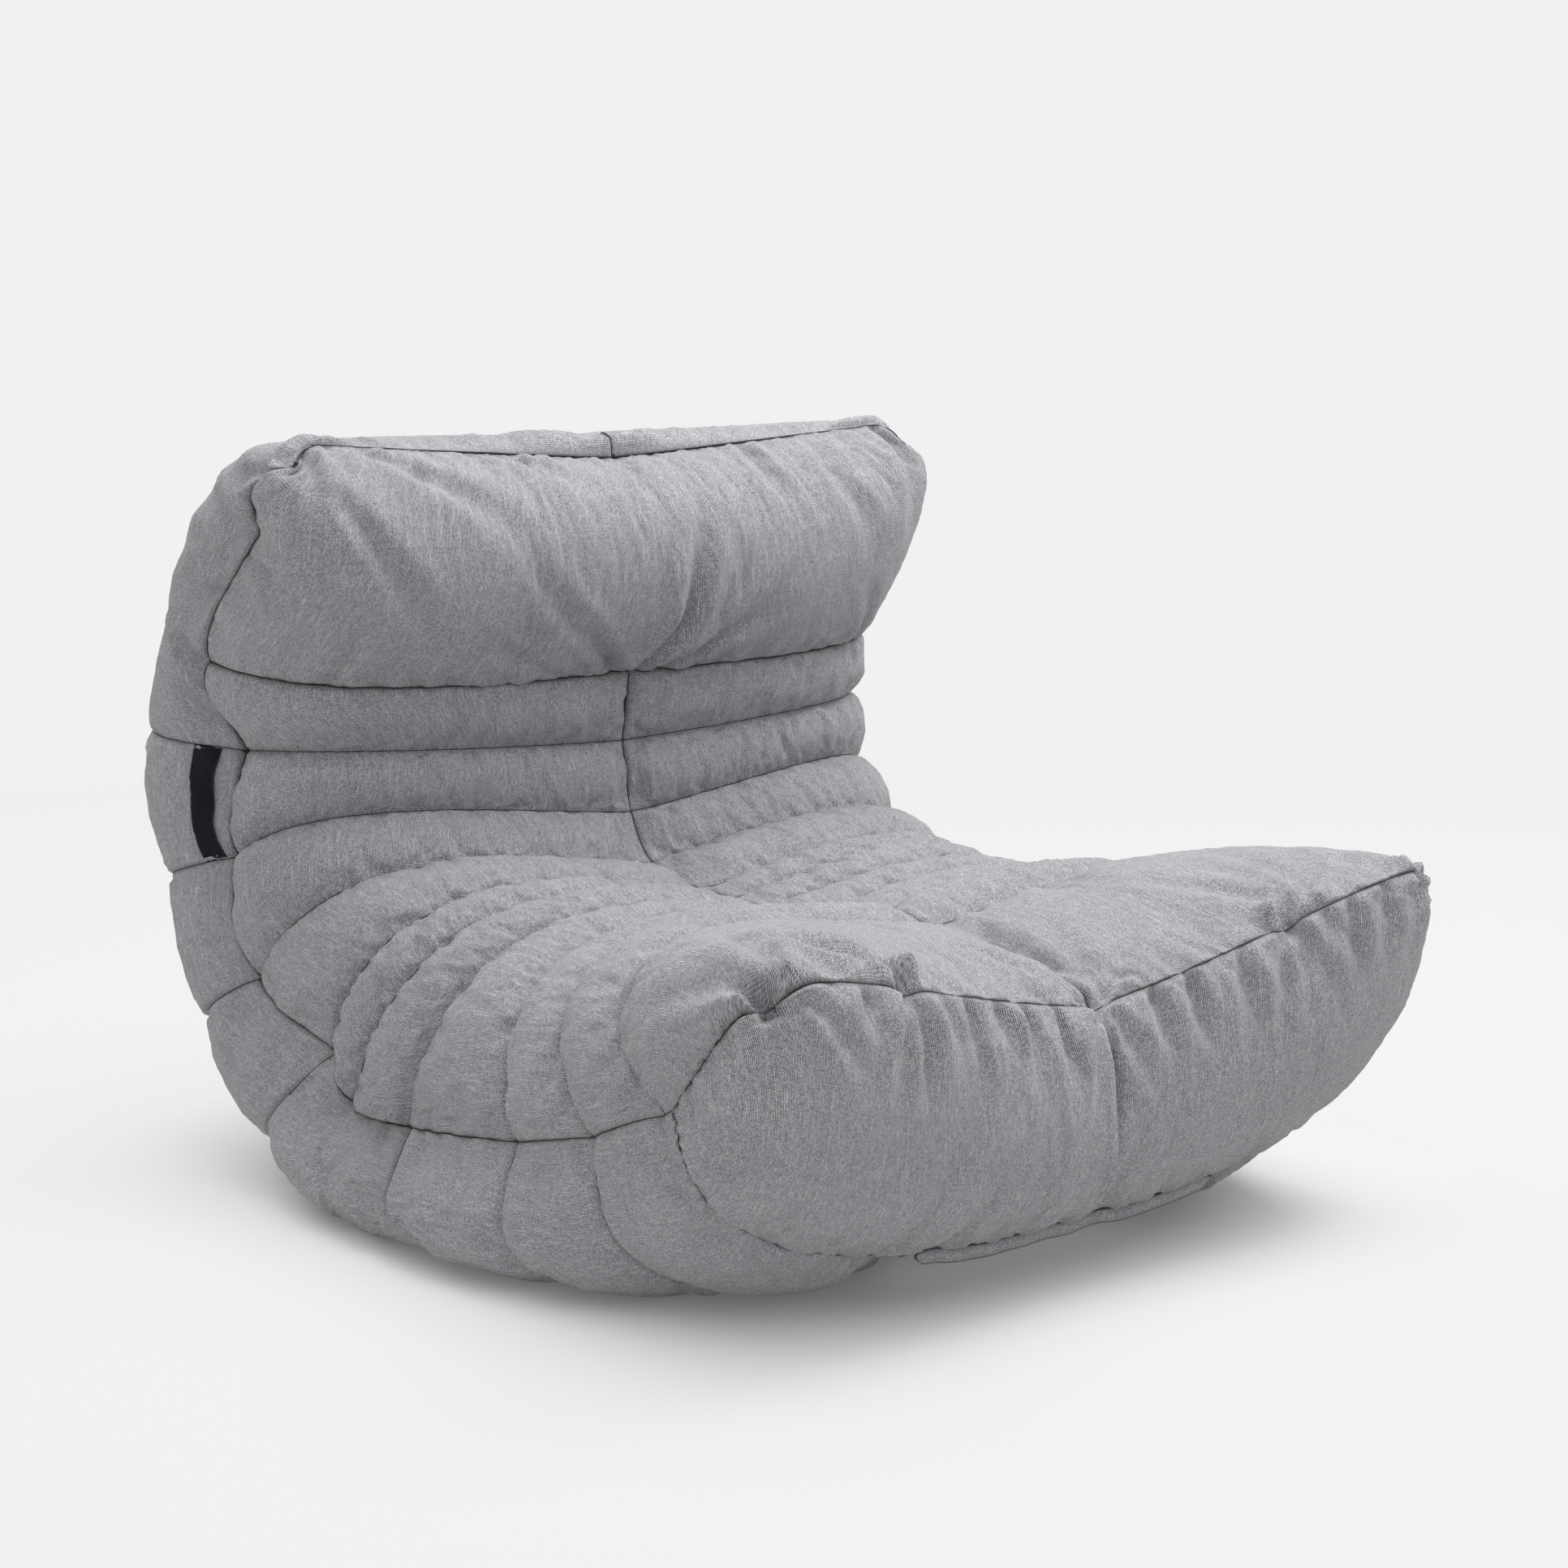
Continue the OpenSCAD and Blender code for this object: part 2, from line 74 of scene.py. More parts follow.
MID_FORWARD = -115.4
LAST = len(CENTRE) - 1
FRONT_HALF = HALF_W[LAST]
FACE_SEAMS = [0, 3, 4, 5, 6, 7, 8, 9, 10, 11, 12, 13]
SHELL_SEAMS = [0, 4, 5, 6, 7, 9, 10, 11, 13]
BASE_START, BASE_INSET = 7, 0.28
FRONT_BULGE = 52.0


def sin_d(a):
    return np.maximum(np.sin(np.radians(a)), 0)


def cos_d(a):
    return np.maximum(np.cos(np.radians(a)), 0)


def along(points, v):
    """Smooth curve through the points, v counted in stations."""
    n = len(points) - 1
    v = np.clip(v, 0, n)
    i = np.minimum(np.floor(v).astype(int), n - 1)
    t = v - i
    if points.ndim > 1:
        t = t[..., None]
    a, b = points[np.maximum(i - 1, 0)], points[i]
    c, d = points[i + 1], points[np.minimum(i + 2, n)]
    return 0.5*(2*b + (c - a)*t + (2*a - 5*b + 4*c - d)*t*t + (3*b - a - 3*c + d)*t**3)


def place(x, p):
    return np.stack([x, MID_FORWARD - p[..., 0], np.maximum(p[..., 1], 0)], -1)


def skin(v, g):
    """Point of the body at station v; g is 0 mid face, 1 side edge, 2 keel, minus is left."""
    v, g = np.broadcast_arrays(np.asarray(v, float), np.asarray(g, float))
    side = np.where(g < 0, -1.0, 1.0)
    c, r, e, k = (along(p, v) for p in (CENTRE, RIM, EDGE, KEEL))
    w, n, m = along(HALF_W, v), along(FACE_N, v), along(SHELL_N, v)
    face = np.minimum(np.abs(g), 1)
    s = sin_d(90*face)**(2/n)
    drop = (1 - cos_d(90*face)**(2/n))[..., None]
    on_face = place(side*w*s, c + (r - c)*(s**1.25)[..., None] + (e - r)*drop)
    q = np.clip(np.abs(g) - 1, 0, 1)
    out = w + (along(SHELL_W, v) - w)*sin_d(180*q)**0.6
    on_shell = place(side*out*cos_d(90*q)**(2/m), e + (k - e)*(sin_d(90*q)**(2/m))[..., None])
    return np.where((np.abs(g) <= 1)[..., None], on_face, on_shell)


def base_end(v):
    """Share of the shell girth that lies above the base seam."""
    return np.where(v <= BASE_START, 1.0,
                    1 - BASE_INSET*np.sqrt(np.clip((v - BASE_START)/1.5, 0, 1)))


def resample(v, g, n):
    """n + 1 points spaced evenly along the curve of stations v and girths g, and their g."""
    p = skin(v, g)
    arc = np.concatenate([[0], np.cumsum(np.linalg.norm(np.diff(p, axis=0), axis=1))])
    want = np.linspace(0, arc[-1], n + 1)
    return (np.stack([np.interp(want, arc, p[:, k]) for k in range(3)], -1),
            np.interp(want, arc, g))


def eased(n):
    """0 to 1 in n steps, finer towards both ends, where the seams are."""
    k = np.linspace(0, 1, n + 1)
    return k - 0.07*np.sin(2*np.pi*k)


def dense(n=361):
    u = np.linspace(0, 1, n)
    for _ in range(2):
        u = 0.5*(1 - np.cos(np.pi*u))
    return u


def arc_of(grid, axis):
    step = np.linalg.norm(np.diff(grid, axis=axis), axis=-1)
    zero = np.zeros_like(np.take(step, [0], axis=axis))
    return np.concatenate([zero, np.cumsum(step, axis=axis)], axis=axis)


def faces_of(at):
    """Four corners of every face of a grid of point numbers."""
    return np.stack([at[:-1, :-1], at[1:, :-1], at[1:, 1:], at[:-1, 1:]], -1).reshape(-1, 4)


def outward(grid):
    """Outward direction at each point of a grid; rows run down it and columns to the right."""
    n = np.cross(np.gradient(grid, axis=1), -np.gradient(grid, axis=0))
    return n/np.maximum(np.linalg.norm(n, axis=-1, keepdims=True), 1e-9)


def lumps(p, size, seed):
    """Smooth unevenness, about -1 to 1, with bumps of that size in millimetres."""
    r = np.random.default_rng(seed)
    total = 0
    for _ in range(9):
        k = r.normal(size=3)
        k *= np.pi/size*r.uniform(0.6, 1.4)/np.linalg.norm(k)
        total = total + np.sin(p @ k + r.uniform(0, 6.3))
    return total/4.5


# ---- mesh rows: finer beside the seams ---------------
HEAD_ROWS, CHANNEL_ROWS, LAST_ROWS, FACE_HALF, SHELL_COLS, FRONT_ROWS = 44, 14, 38, 86, 78, 40
ROWS = np.concatenate([3*eased(HEAD_ROWS)[:-1]]
                      + [k + eased(CHANNEL_ROWS)[:-1] for k in range(3, 12)]
                      + [12 + eased(LAST_ROWS)])


def row_of(station):
    return int(np.argmin(np.abs(ROWS - station)))


def strips(seams):
    return [(row_of(a), row_of(b)) for a, b in zip(seams[:-1], seams[1:])]


u_face = np.concatenate([-dense()[:0:-1], dense()])
face, face_g = (np.array(x) for x in zip(*[
    resample(np.full(len(u_face), v), u_face, 2*FACE_HALF) for v in ROWS]))


def shell_row(v):
    """Right shell from the side edge to the base seam; the first base row eases in."""
    u = dense()
    late = v - BASE_START
    vs = BASE_START + late*((1 - u**2) + u**2*late) if 0 < late < 1 else np.full(len(u), v)
    return resample(vs, 1 + u*base_end(vs), SHELL_COLS)


shell, shell_g = (np.array(x) for x in zip(*[shell_row(v) for v in ROWS]))

# Gathered band that closes the top, from the headrest seam back to the shell
band_seam = np.stack([np.interp(2 - shell_g[0], face_g[0], face[0, :, k]) for k in range(3)], -1)
band = [band_seam*(1 - t) + shell[0]*t for t in (0, 0.3, 0.65)]
BAND = len(band)
shell = np.concatenate([band, shell])
shell_rows = np.concatenate([np.zeros(BAND), ROWS])
shell_strips = [(a + (BAND if a else 0), b + BAND) for a, b in strips(SHELL_SEAMS)]
face_strips = strips(FACE_SEAMS)


# Front panel between the last seam of the face and the lower seam, a lens with two corners
u_low = np.concatenate([-1 - dense(), (1 + dense())[::-1][1:]])
front_low, _ = resample(np.full(len(u_low), float(LAST)), u_low, 2*FACE_HALF)
front_s = np.abs(np.linspace(-1, 1, 2*FACE_HALF + 1))
front_t = eased(FRONT_ROWS)[:, None]
front_bow = sin_d(180*front_t)**0.75*np.sqrt(np.clip(1 - front_s**2.6, 0, 1))
front = (face[-1]*(1 - front_t[..., None]) + front_low*front_t[..., None]
         + FRONT_BULGE*front_bow[..., None]*np.array([0, -0.87, -0.49]))


# ---- the stuffed shape: crowns, gathers and folds ----
def crown_lift(grid, spans, height, share, power=0.62):
    """Crown between seams, lower on narrow strips."""
    arc = arc_of(grid, 0)
    lift = np.zeros(grid.shape[:2])
    for i, j in spans:
        width = arc[j] - arc[i]
        u = (arc[i:j + 1] - arc[i])/np.maximum(width, 1e-6)
        lift[i:j + 1] = np.minimum(height, share*width)*np.sin(np.pi*np.clip(u, 0, 1))**power
    return lift


def gathers(grid, spans, seed, gap, height, length, heads=(True, True)):
    """Small folds that run out of both seams of each strip, where the cloth is gathered in."""
    r = np.random.default_rng(seed)
    down, across = arc_of(grid, 0), arc_of(grid, 1)
    lift = np.zeros(grid.shape[:2])
    for i, j in spans:
        for end, upper in zip((i, j), (True, False)):
            if not heads[0 if upper else 1]:
                continue
            reach = down[i:j + 1] - down[i] if upper else down[j] - down[i:j + 1]
            width = np.minimum(down[j] - down[i], 400)
            x = across[end].max()*np.cumsum(r.uniform(0.35, 1.65, int(across[end].max()/gap)))
            x = x/max(x[-1], 1)*across[end].max()
            for xk in x:
                a = height*r.uniform(0.35, 1.1)*r.choice([1, 1, -1])
                w = gap*r.uniform(0.20, 0.34)
                far = np.minimum(length*r.uniform(0.6, 1.4), 0.55*width)
                lean = r.normal()*0.22
                d = across[end] - xk - lean*reach
                fade = np.exp(-(reach/np.maximum(far, 1))**1.7)*np.minimum(reach/5, 1)
                lift[i:j + 1] += a*np.exp(-(d/(w + 0.12*reach))**2)*fade
    return lift


CREASE_POINTS = 40


def crease(grid, path, width, depth, start, swell=0.55):
    """A crease along surface points: a narrow groove with a soft ridge on both sides.

    start is the share of the depth at the first point; it runs out at the last."""
    way = np.array(path, float)
    k = np.linspace(0, len(way) - 1, CREASE_POINTS)
    line = np.stack([np.interp(k, np.arange(len(way)), way[:, n]) for n in range(3)], -1)
    for _ in range(6):
        line[1:-1] = 0.5*line[1:-1] + 0.25*(line[:-2] + line[2:])
    flat = grid.reshape(-1, 3)
    lift = np.zeros(len(flat))
    centre = line.mean(0)
    near = np.where(np.linalg.norm(flat - centre, axis=1)
                    < np.linalg.norm(line - centre, axis=1).max() + 6*width)[0]
    if not len(near):
        return lift.reshape(grid.shape[:2])
    gap = flat[near][:, None] - line[None]
    dist = np.linalg.norm(gap, axis=-1)
    n = dist.argmin(1)
    t = n/(CREASE_POINTS - 1)
    tangent = np.gradient(line, axis=0)[n]
    up = outward(grid).reshape(-1, 3)[near]
    across = np.cross(tangent, up)
    across /= np.linalg.norm(across, axis=1, keepdims=True) + 1e-9
    nearest, d = gap[np.arange(len(near)), n], dist.min(1)
    aside, high = (across*nearest).sum(1), np.abs((up*nearest).sum(1))
    past = np.where((n == 0) | (t == 1), np.sqrt(np.maximum(d**2 - aside**2 - high**2, 0)), 0)
    size = np.interp(t, [0, 0.2, 0.55, 1], [start, 1, 0.8, 0])*np.exp(-(past/width)**2)
    w = width*(0.8 + 0.7*t)
    groove = np.exp(-(aside/w)**2)
    ridges = np.exp(-((aside - 2*w)/(1.3*w))**2) + np.exp(-((aside + 2*w)/(1.3*w))**2)
    lift[near] = depth*size*(swell*ridges - groove)*np.exp(-(np.maximum(high - 25, 0)/12)**2)
    return lift.reshape(grid.shape[:2])


def on_face(*points):
    return [skin(v, g)[()] for v, g in points]


def on_front(*points):
    """Points of the front panel: how far down it, 0 to 1, and x in millimetres."""
    out = []
    for t, x in points:
        row = front[int(round(t*FRONT_ROWS))]
        out.append(row[np.abs(row[:, 0] - x).argmin()])
    return out


seat = row_of(3)
head = np.arange(len(ROWS)) <= seat


def face_edges(grid, g):
    """0 at the side seams and the middle seam of the quilted part, 1 well away from them."""
    middle = np.minimum(np.abs(grid[..., 0])/30, 1)**0.55
    return np.where(head[:, None], 1, middle)*np.clip(1 - np.abs(g)**26, 0, 1)**0.6


# face: crowns between the seams, gathers and lumps
edges = face_edges(face, face_g)
face_lift = crown_lift(face, face_strips, *FACE_CROWN)*edges
face_lift[head] *= 0.75
face_lift += gathers(face, face_strips, 5, 46, 1.8, 40)*edges
face_lift += 3.2*lumps(face, 150, 7)*np.minimum(np.abs(face_lift)/8, 1)
for k in FACE_SEAMS[1:-1]:
    face_lift[row_of(k)] -= 1.6*edges[row_of(k)]

# front panel
front_in = np.sqrt(np.clip(1 - front_s**6, 0, 1))
front_lift = 3.0*sin_d(180*front_t)**0.5*front_in
front_lift = front_lift + gathers(front, [(0, FRONT_ROWS)], 21, 44, 2.4, 75, (True, False))*front_in
front_lift += 4.0*lumps(front, 190, 23)*sin_d(180*front_t)**0.5*front_in

# side shells: panels between the seams, the gathered band along the top
shell_up = outward(shell)
shell_s = arc_of(shell, 1)
shell_s = shell_s/shell_s[:, -1:]
free = np.clip(1 - (1 - shell_s)**10, 0, 1)
low_in = np.where((shell_rows <= BASE_START)[:, None], 1, np.clip((1 - shell_s)*14, 0, 1))


def shell_lift(seed):
    spans = [(BAND, shell_strips[0][1])] + shell_strips[1:]
    lift = crown_lift(shell, spans, *SHELL_CROWN)*free*low_in
    lift += gathers(shell, spans[1:], seed, 50, 3.0, 38)*free*low_in
    lift += gathers(shell, spans[:1], seed + 1, 60, 3.0, 70, (False, True))*free
    lift += 5.0*lumps(shell, 170, seed + 2)*free*low_in*np.minimum(lift/7, 1).clip(0)
    down = arc_of(shell, 0)
    r = np.random.default_rng(seed + 3)
    ripple = np.interp(shell_s, np.linspace(0, 1, 17), r.uniform(0.85, 1.12, 17))
    roll = 15*ripple*np.exp(-((down - 19)/13)**2)*np.clip(shell_s*8, 0, 1)
    lift += roll - 3.0*np.exp(-((down - 44)/9)**2)*free
    # gathers that run in from the side edge
    at = shell_s*np.maximum(arc_of(shell, 1)[:, -1:], 1)
    along_edge = down[:, :1]
    for x in np.cumsum(r.uniform(28, 92, 30)):
        a = 3.4*r.uniform(0.3, 1.1)*r.choice([1, 1, -1])
        lift += (a*np.exp(-((along_edge - x + 0.2*at)/(13 + 0.1*at))**2)*np.exp(-(at/60)**1.7)
                 * np.clip(at/7, 0, 1))*(along_edge > 60)*low_in
    return lift


flip = np.array([-1.0, 1.0, 1.0])
face_p = face + outward(face)*face_lift[..., None]
front_p = front + outward(front)*front_lift[..., None]
right_p = shell + shell_up*shell_lift(31)[..., None]
left_p = (shell + shell_up*shell_lift(41)[..., None])*flip


def keep_off_floor():
    for grid in (face_p, front_p, right_p, left_p):
        grid[..., 2] = np.maximum(grid[..., 2], CLEARANCE)


keep_off_floor()


# ---- cloth simulation --------------------------------
def settle(grids, pins, slackness, frames, pressure, cap):
    """Blender's cloth on all panels at once: seams are held, the stuffing presses outwards,
    and the cloth is cut a little larger than its panel, so it wrinkles. cap is how far a
    point may move, in millimetres. Returns new grids."""
    points = np.concatenate([g.reshape(-1, 3) for g in grids])
    points = (points + np.random.default_rng(3).normal(0, 0.04, points.shape))*MM
    held = np.concatenate([k.reshape(-1) for k in pins])
    quads, start = [], 0
    for g, turned in zip(grids, (False, False, True, False)):
        at = start + np.arange(g.shape[0]*g.shape[1]).reshape(g.shape[:2])
        q = faces_of(at)
        quads.append(q[:, ::-1] if turned else q)
        start += at.size
    mesh = bpy.data.meshes.new("settling")
    mesh.from_pydata(points.tolist(), [], np.concatenate(quads).tolist())
    mesh.update()
    obj = bpy.data.objects.new("settling", mesh)
    scene.collection.objects.link(obj)
    group = obj.vertex_groups.new(name="held")
    for level in np.unique(held[held > 0]):
        group.add(np.where(held == level)[0].tolist(), float(level), "REPLACE")
    cloth = obj.modifiers.new("cloth", "CLOTH")
    s = cloth.settings
    s.quality, s.mass, s.air_damping, s.time_scale = 6, 0.002, 2.0, 1.0
    s.tension_stiffness = s.compression_stiffness = 6.0
    s.shear_stiffness, s.bending_stiffness = 1.5, 0.02
    s.tension_damping = s.compression_damping = s.shear_damping = 3.0
    s.bending_damping = 0.5
    s.vertex_group_mass, s.pin_stiffness = "held", 1.0
    s.use_pressure, s.uniform_pressure_force = True, pressure
    s.shrink_min = -slackness
    s.effector_weights.gravity = 0.0
    cloth.collision_settings.use_collision = False
    cloth.point_cache.frame_start, cloth.point_cache.frame_end = 1, frames
    for f in range(1, frames + 1):
        scene.frame_set(f)
    seen = obj.evaluated_get(bpy.context.evaluated_depsgraph_get())
    new = np.empty(len(points)*3, np.float32)
    seen.data.vertices.foreach_get("co", new)
    new = new.reshape(-1, 3).astype(float)/MM
    move = new - points/MM
    size = np.linalg.norm(move, axis=1, keepdims=True)
    move *= np.minimum(1, cap*np.tanh(size/cap)/np.maximum(size, 1e-6))
    bpy.data.objects.remove(obj)
    scene.frame_set(1)
    out, start = [], 0
    for g in grids:
        n = g.shape[0]*g.shape[1]
        out.append(g + move[start:start + n].reshape(g.shape))
        start += n
    return out


def held_at(grid, rows, cols):
    pin = np.zeros(grid.shape[:2])
    pin[rows] = 1
    pin[:, cols] = 1
    return pin


face_pin = held_at(face, [row_of(k) for k in FACE_SEAMS], [0, -1])
face_pin[seat:, FACE_HALF] = 1
shell_pin = held_at(shell, [0, 1, 2] + [BAND + row_of(k) for k in SHELL_SEAMS[1:]], [0, -1])
front_pin = held_at(front, [0, -1], [0, -1])
face_p, right_p, left_p, front_p = settle(
    (face_p, right_p, left_p, front_p), (face_pin, shell_pin, shell_pin, front_pin),
    slackness=0.045, frames=9, pressure=2.6, cap=14.0)


# ---- pleats, slack folds and puckers, on finer columns ----
def finer(grid):
    """Twice the columns, on a smooth curve through the old ones."""
    p = np.concatenate([grid[:, :1]*2 - grid[:, 1:2], grid, grid[:, -1:]*2 - grid[:, -2:-1]], 1)
    half = (9*(p[:, 1:-2] + p[:, 2:-1]) - p[:, :-3] - p[:, 3:])/16
    out = np.empty((grid.shape[0], 2*grid.shape[1] - 1, *grid.shape[2:]))
    out[:, ::2], out[:, 1::2] = grid, half
    return out


face, face_p, front, front_p = finer(face), finer(face_p), finer(front), finer(front_p)
face_g = finer(face_g[..., None])[..., 0].clip(-1, 1)
face_g[:, [0, -1]] = [-1, 1]
front_s = np.abs(np.linspace(-1, 1, front.shape[1]))
front_in = np.sqrt(np.clip(1 - front_s**8, 0, 1))
MIDDLE = 2*FACE_HALF   # middle column of the finer face
edges = face_edges(face, face_g)


def lay_folds(plain, stuffed, lift, corner, near):
    """Adds folds to a stuffed grid, faded out at its first and last row and at one corner."""
    gap = arc_of(plain, 0)
    gap = np.minimum(gap, gap[-1] - gap)
    lift = lift*(1 - np.exp(-(gap/near)**2))
    lift *= 1 - 0.8*np.exp(-(np.linalg.norm(plain - corner, axis=-1)/45)**2)
    stuffed += outward(plain)*lift[..., None]


more = gathers(face, face_strips[1:], 61, 33, 1.2, 24)*edges
more += gathers(face, face_strips[:1], 62, 40, 2.4, 60)*edges

# headrest: pleats that rise from the seat seam, and slack folds beside them
HEADREST_FOLDS = (   # path as (station, girth) points, width and depth in millimetres
    (((3.0, 0.0), (2.3, 0.02), (1.75, 0.02), (1.2, 0.03), (0.3, 0.07)), 8, 8.0),
    (((3.0, -0.01), (2.5, -0.05), (2.0, -0.12), (1.4, -0.17)), 7, 5.0),
    (((3.0, 0.02), (2.5, 0.08), (2.0, 0.17), (1.5, 0.24)), 8, 5.5),
    (((2.9, 0.01), (2.4, 0.13), (2.0, 0.29)), 7, 3.5),
    (((2.9, -0.10), (2.55, -0.20), (2.3, -0.32)), 6, 3.0),
    (((0.98, -0.60), (1.5, -0.51), (2.08, -0.41), (2.6, -0.34)), 8, 4.5),
    (((0.30, -0.46), (0.65, -0.33), (1.07, -0.21), (1.4, -0.15)), 8, 4.5),
    (((0.15, -0.75), (0.6, -0.70), (1.2, -0.68), (1.8, -0.69)), 8, 4.0),
    (((2.08, -0.94), (2.15, -0.88), (2.2, -0.80)), 8, 5.0),
    (((0.1, 0.2), (0.7, 0.17), (1.3, 0.18)), 8, 4.5),
    (((0.2, 0.35), (0.8, 0.33), (1.4, 0.38), (2.1, 0.46)), 9, 4.0),
    (((0.1, 0.62), (0.7, 0.64), (1.4, 0.62), (2.0, 0.66)), 8, 4.0),
    (((0.05, -0.2), (0.4, -0.1), (0.9, -0.04)), 7, 4.0),
    (((2.95, 0.55), (2.5, 0.50), (2.1, 0.43)), 7, 3.5),
    (((2.95, -0.62), (2.6, -0.56), (2.2, -0.55)), 7, 3.0))
for path, width, depth in HEADREST_FOLDS:
    more += crease(face, on_face(*path), 1.25*width, 1.7*depth, 0.7)*edges


def g_at(x, half, power):
    """Girth at which the face is x millimetres from its middle."""
    return math.copysign(2/math.pi*math.asin(min(abs(x)/half, 0.995)**power), x)


# last channel: folds that radiate from the notches of the front seam and the left corner
for x, spread in ((NOTCHES[0], (-120, -70, -25, 20, 65, 110)),
                  (NOTCHES[1], (-100, -55, -15, 30, 75)),
                  (NOTCHES[2], (-110, -60, -15, 35, 85)),
                  (LEFT_STAR, (-4, 30, 70, 120)), (425, (-90, -40, 5))):
    for k, aside in enumerate(spread):
        far = 12.36 + 0.16*(k % 3)
        deep = (13 if x == LEFT_STAR else 8.5) - 2.4*(k % 2)
        path = on_face((13.0, g_at(x, FRONT_HALF, 3)),
                       (12.86, g_at(x + 0.3*aside, FRONT_HALF, 2.2)),
                       (far, g_at(x + aside, 455, 1.35)))
        more += crease(face, path, 8.5, deep, 0.8, 0.7)*edges
lay_folds(face, face_p, more, face[-1, -1], 5)

# front panel: pleats under its top seam and a star of puckers at the left corner
more = gathers(front, [(0, FRONT_ROWS)], 63, 30, 2.4, 60, (True, False))*front_in
more += gathers(front, [(0, FRONT_ROWS)], 64, 60, 1.2, 36, (False, True))*front_in
FRONT_FOLDS = (   # x at the seam, sideways drift and depth in millimetres
    (-440, 4, 9.5), (-436, 30, 9.0), (-430, 62, 8.5), (-424, 100, 6.0), (-340, 14, 3.5),
    (-282, -26, 7.5), (-272, 8, 6.5), (-232, 20, 3.5), (-196, 10, 6.0), (-150, 6, 4.0),
    (-112, -10, 6.0), (-64, 2, 4.5), (-6, -40, 7.5), (0, 2, 8.0), (8, 36, 6.0), (62, 8, 5.0),
    (112, 4, 5.0), (172, 8, 3.5), (234, -30, 7.0), (242, 6, 7.0), (250, 36, 5.0),
    (318, -6, 4.5), (368, -20, 5.0), (430, -44, 5.5))
for x, drift, deep in FRONT_FOLDS:
    reach = 0.20 + 0.026*deep
    more += crease(front, on_front((0.0, x), (0.45*reach, x + 0.35*drift), (reach, x + drift)),
                   8.5, 1.6*deep, 0.85)*front_in
lay_folds(front, front_p, more, front[0, -1], 4)


def dent(grid, centre, towards, depth, radius):
    """Pulls the cloth in around a point, alike on every panel, so that seams stay closed."""
    near = np.exp(-(np.linalg.norm(grid - centre, axis=-1, keepdims=True)/radius)**2)
    grid += depth*near*np.array(towards)


# shells: slack folds that run back from the neck between headrest and first channel
NECK_FOLDS = (
    ((1.75, 1.01), (1.95, 1.16), (2.3, 1.34)), ((1.80, 1.01), (2.25, 1.12), (2.8, 1.24)),
    ((1.65, 1.01), (1.55, 1.15), (1.6, 1.34)), ((0.85, 1.01), (1.05, 1.12), (1.15, 1.28)),
    ((0.80, 1.01), (0.65, 1.14), (0.6, 1.30)), ((3.0, 1.01), (2.9, 1.12), (2.9, 1.26)),
    ((2.2, 1.01), (2.6, 1.08), (3.1, 1.13)), ((0.25, 1.03), (0.4, 1.16), (0.45, 1.34)))
more = 0
for path in NECK_FOLDS:
    more = more + crease(shell, on_face(*path), 10, 8.5, 0.6)
more = more*(1 - np.exp(-(arc_of(shell, 1)/5)**2))
right_p += outward(right_p)*more[..., None]
left_p += outward(left_p[:, ::-1])[:, ::-1]*more[..., None]


def seam_wave():
    """The side seams wave: each channel's end swells over them and each sewn line pulls in."""
    wave = np.zeros(len(ROWS))
    for a, b, swell, pull in ([(0, 0.85, 3, 0), (0.85, 1.75, 7, 7), (1.75, 3, 10, 8)]
                              + [(k, k + 1, 8 if k < 7 else 10, 6) for k in range(3, 12)]
                              + [(12, 13, 7, 0)]):
        inside = (ROWS >= a) & (ROWS <= b)
        u = (ROWS[inside] - a)/(b - a)
        wave[inside] = (swell + pull)*np.sin(np.pi*u)**0.6 - pull
    edge = arc_of(face, 0)[:, 0]
    return wave*np.clip(np.minimum(edge, edge[-1] - edge)/40, 0, 1)


wave = seam_wave()
for part, side, reach in ((face_p[:, ::-1], 1, 26), (face_p, -1, 26),
                          (right_p[BAND:], 1, 15), (left_p[BAND:], -1, 15)):
    near = wave[:, None]*np.exp(-(arc_of(part, 1)/reach)**2)
    part += near[..., None]*np.array([0.94*side, 0.0, 0.30])

# puckers: the left corner's star, the notches of the front seam, and the two top corners
left_star = on_face((12.95, g_at(LEFT_STAR, FRONT_HALF, 3)))[0]
for grid in (face_p, front_p, left_p):
    dent(grid, left_star, (0.25, 0.55, -0.75), 30, 22)
for x in NOTCHES:
    spot = front[0, np.abs(front[0, :, 0] - x).argmin()]
    for grid in (face_p, front_p):
        dent(grid, spot, (0.0, 0.62, -0.75), 10, 16)
for side in (-1, 1):
    for grid in (face_p, right_p, left_p):
        dent(grid, skin(0.0, float(side))[()], (-0.62*side, -0.25, -0.74), 24, 30)
right_ear = face_p[0, -1].copy()
for grid in (face_p, right_p):
    dent(grid, right_ear, (-0.62, -0.25, -0.74), 9, 10)
keep_off_floor()


def cloth_uv(grid, spans, shift, middle):
    """Flat cloth coordinates in metres, strip by strip, threads along and across each strip.

    Returns them for the upper and the lower edge of every row of faces."""
    across, down = arc_of(grid, 1)*MM, arc_of(grid, 0)*MM
    across = across - across[:, middle:middle + 1]
    uv = np.stack([across, down], -1)
    upper, lower = uv[:-1].copy(), uv[1:].copy()
    for k, (i, j) in enumerate(spans):
        part = np.stack([across[i:j + 1].mean(0) + 0*down[i:j + 1], down[i:j + 1] - down[i]], -1)
        part = part + (0.0131*k, 0.2617*k)
        upper[i:j], lower[i:j] = part[:-1], part[1:]
    return upper + shift, lower + shift


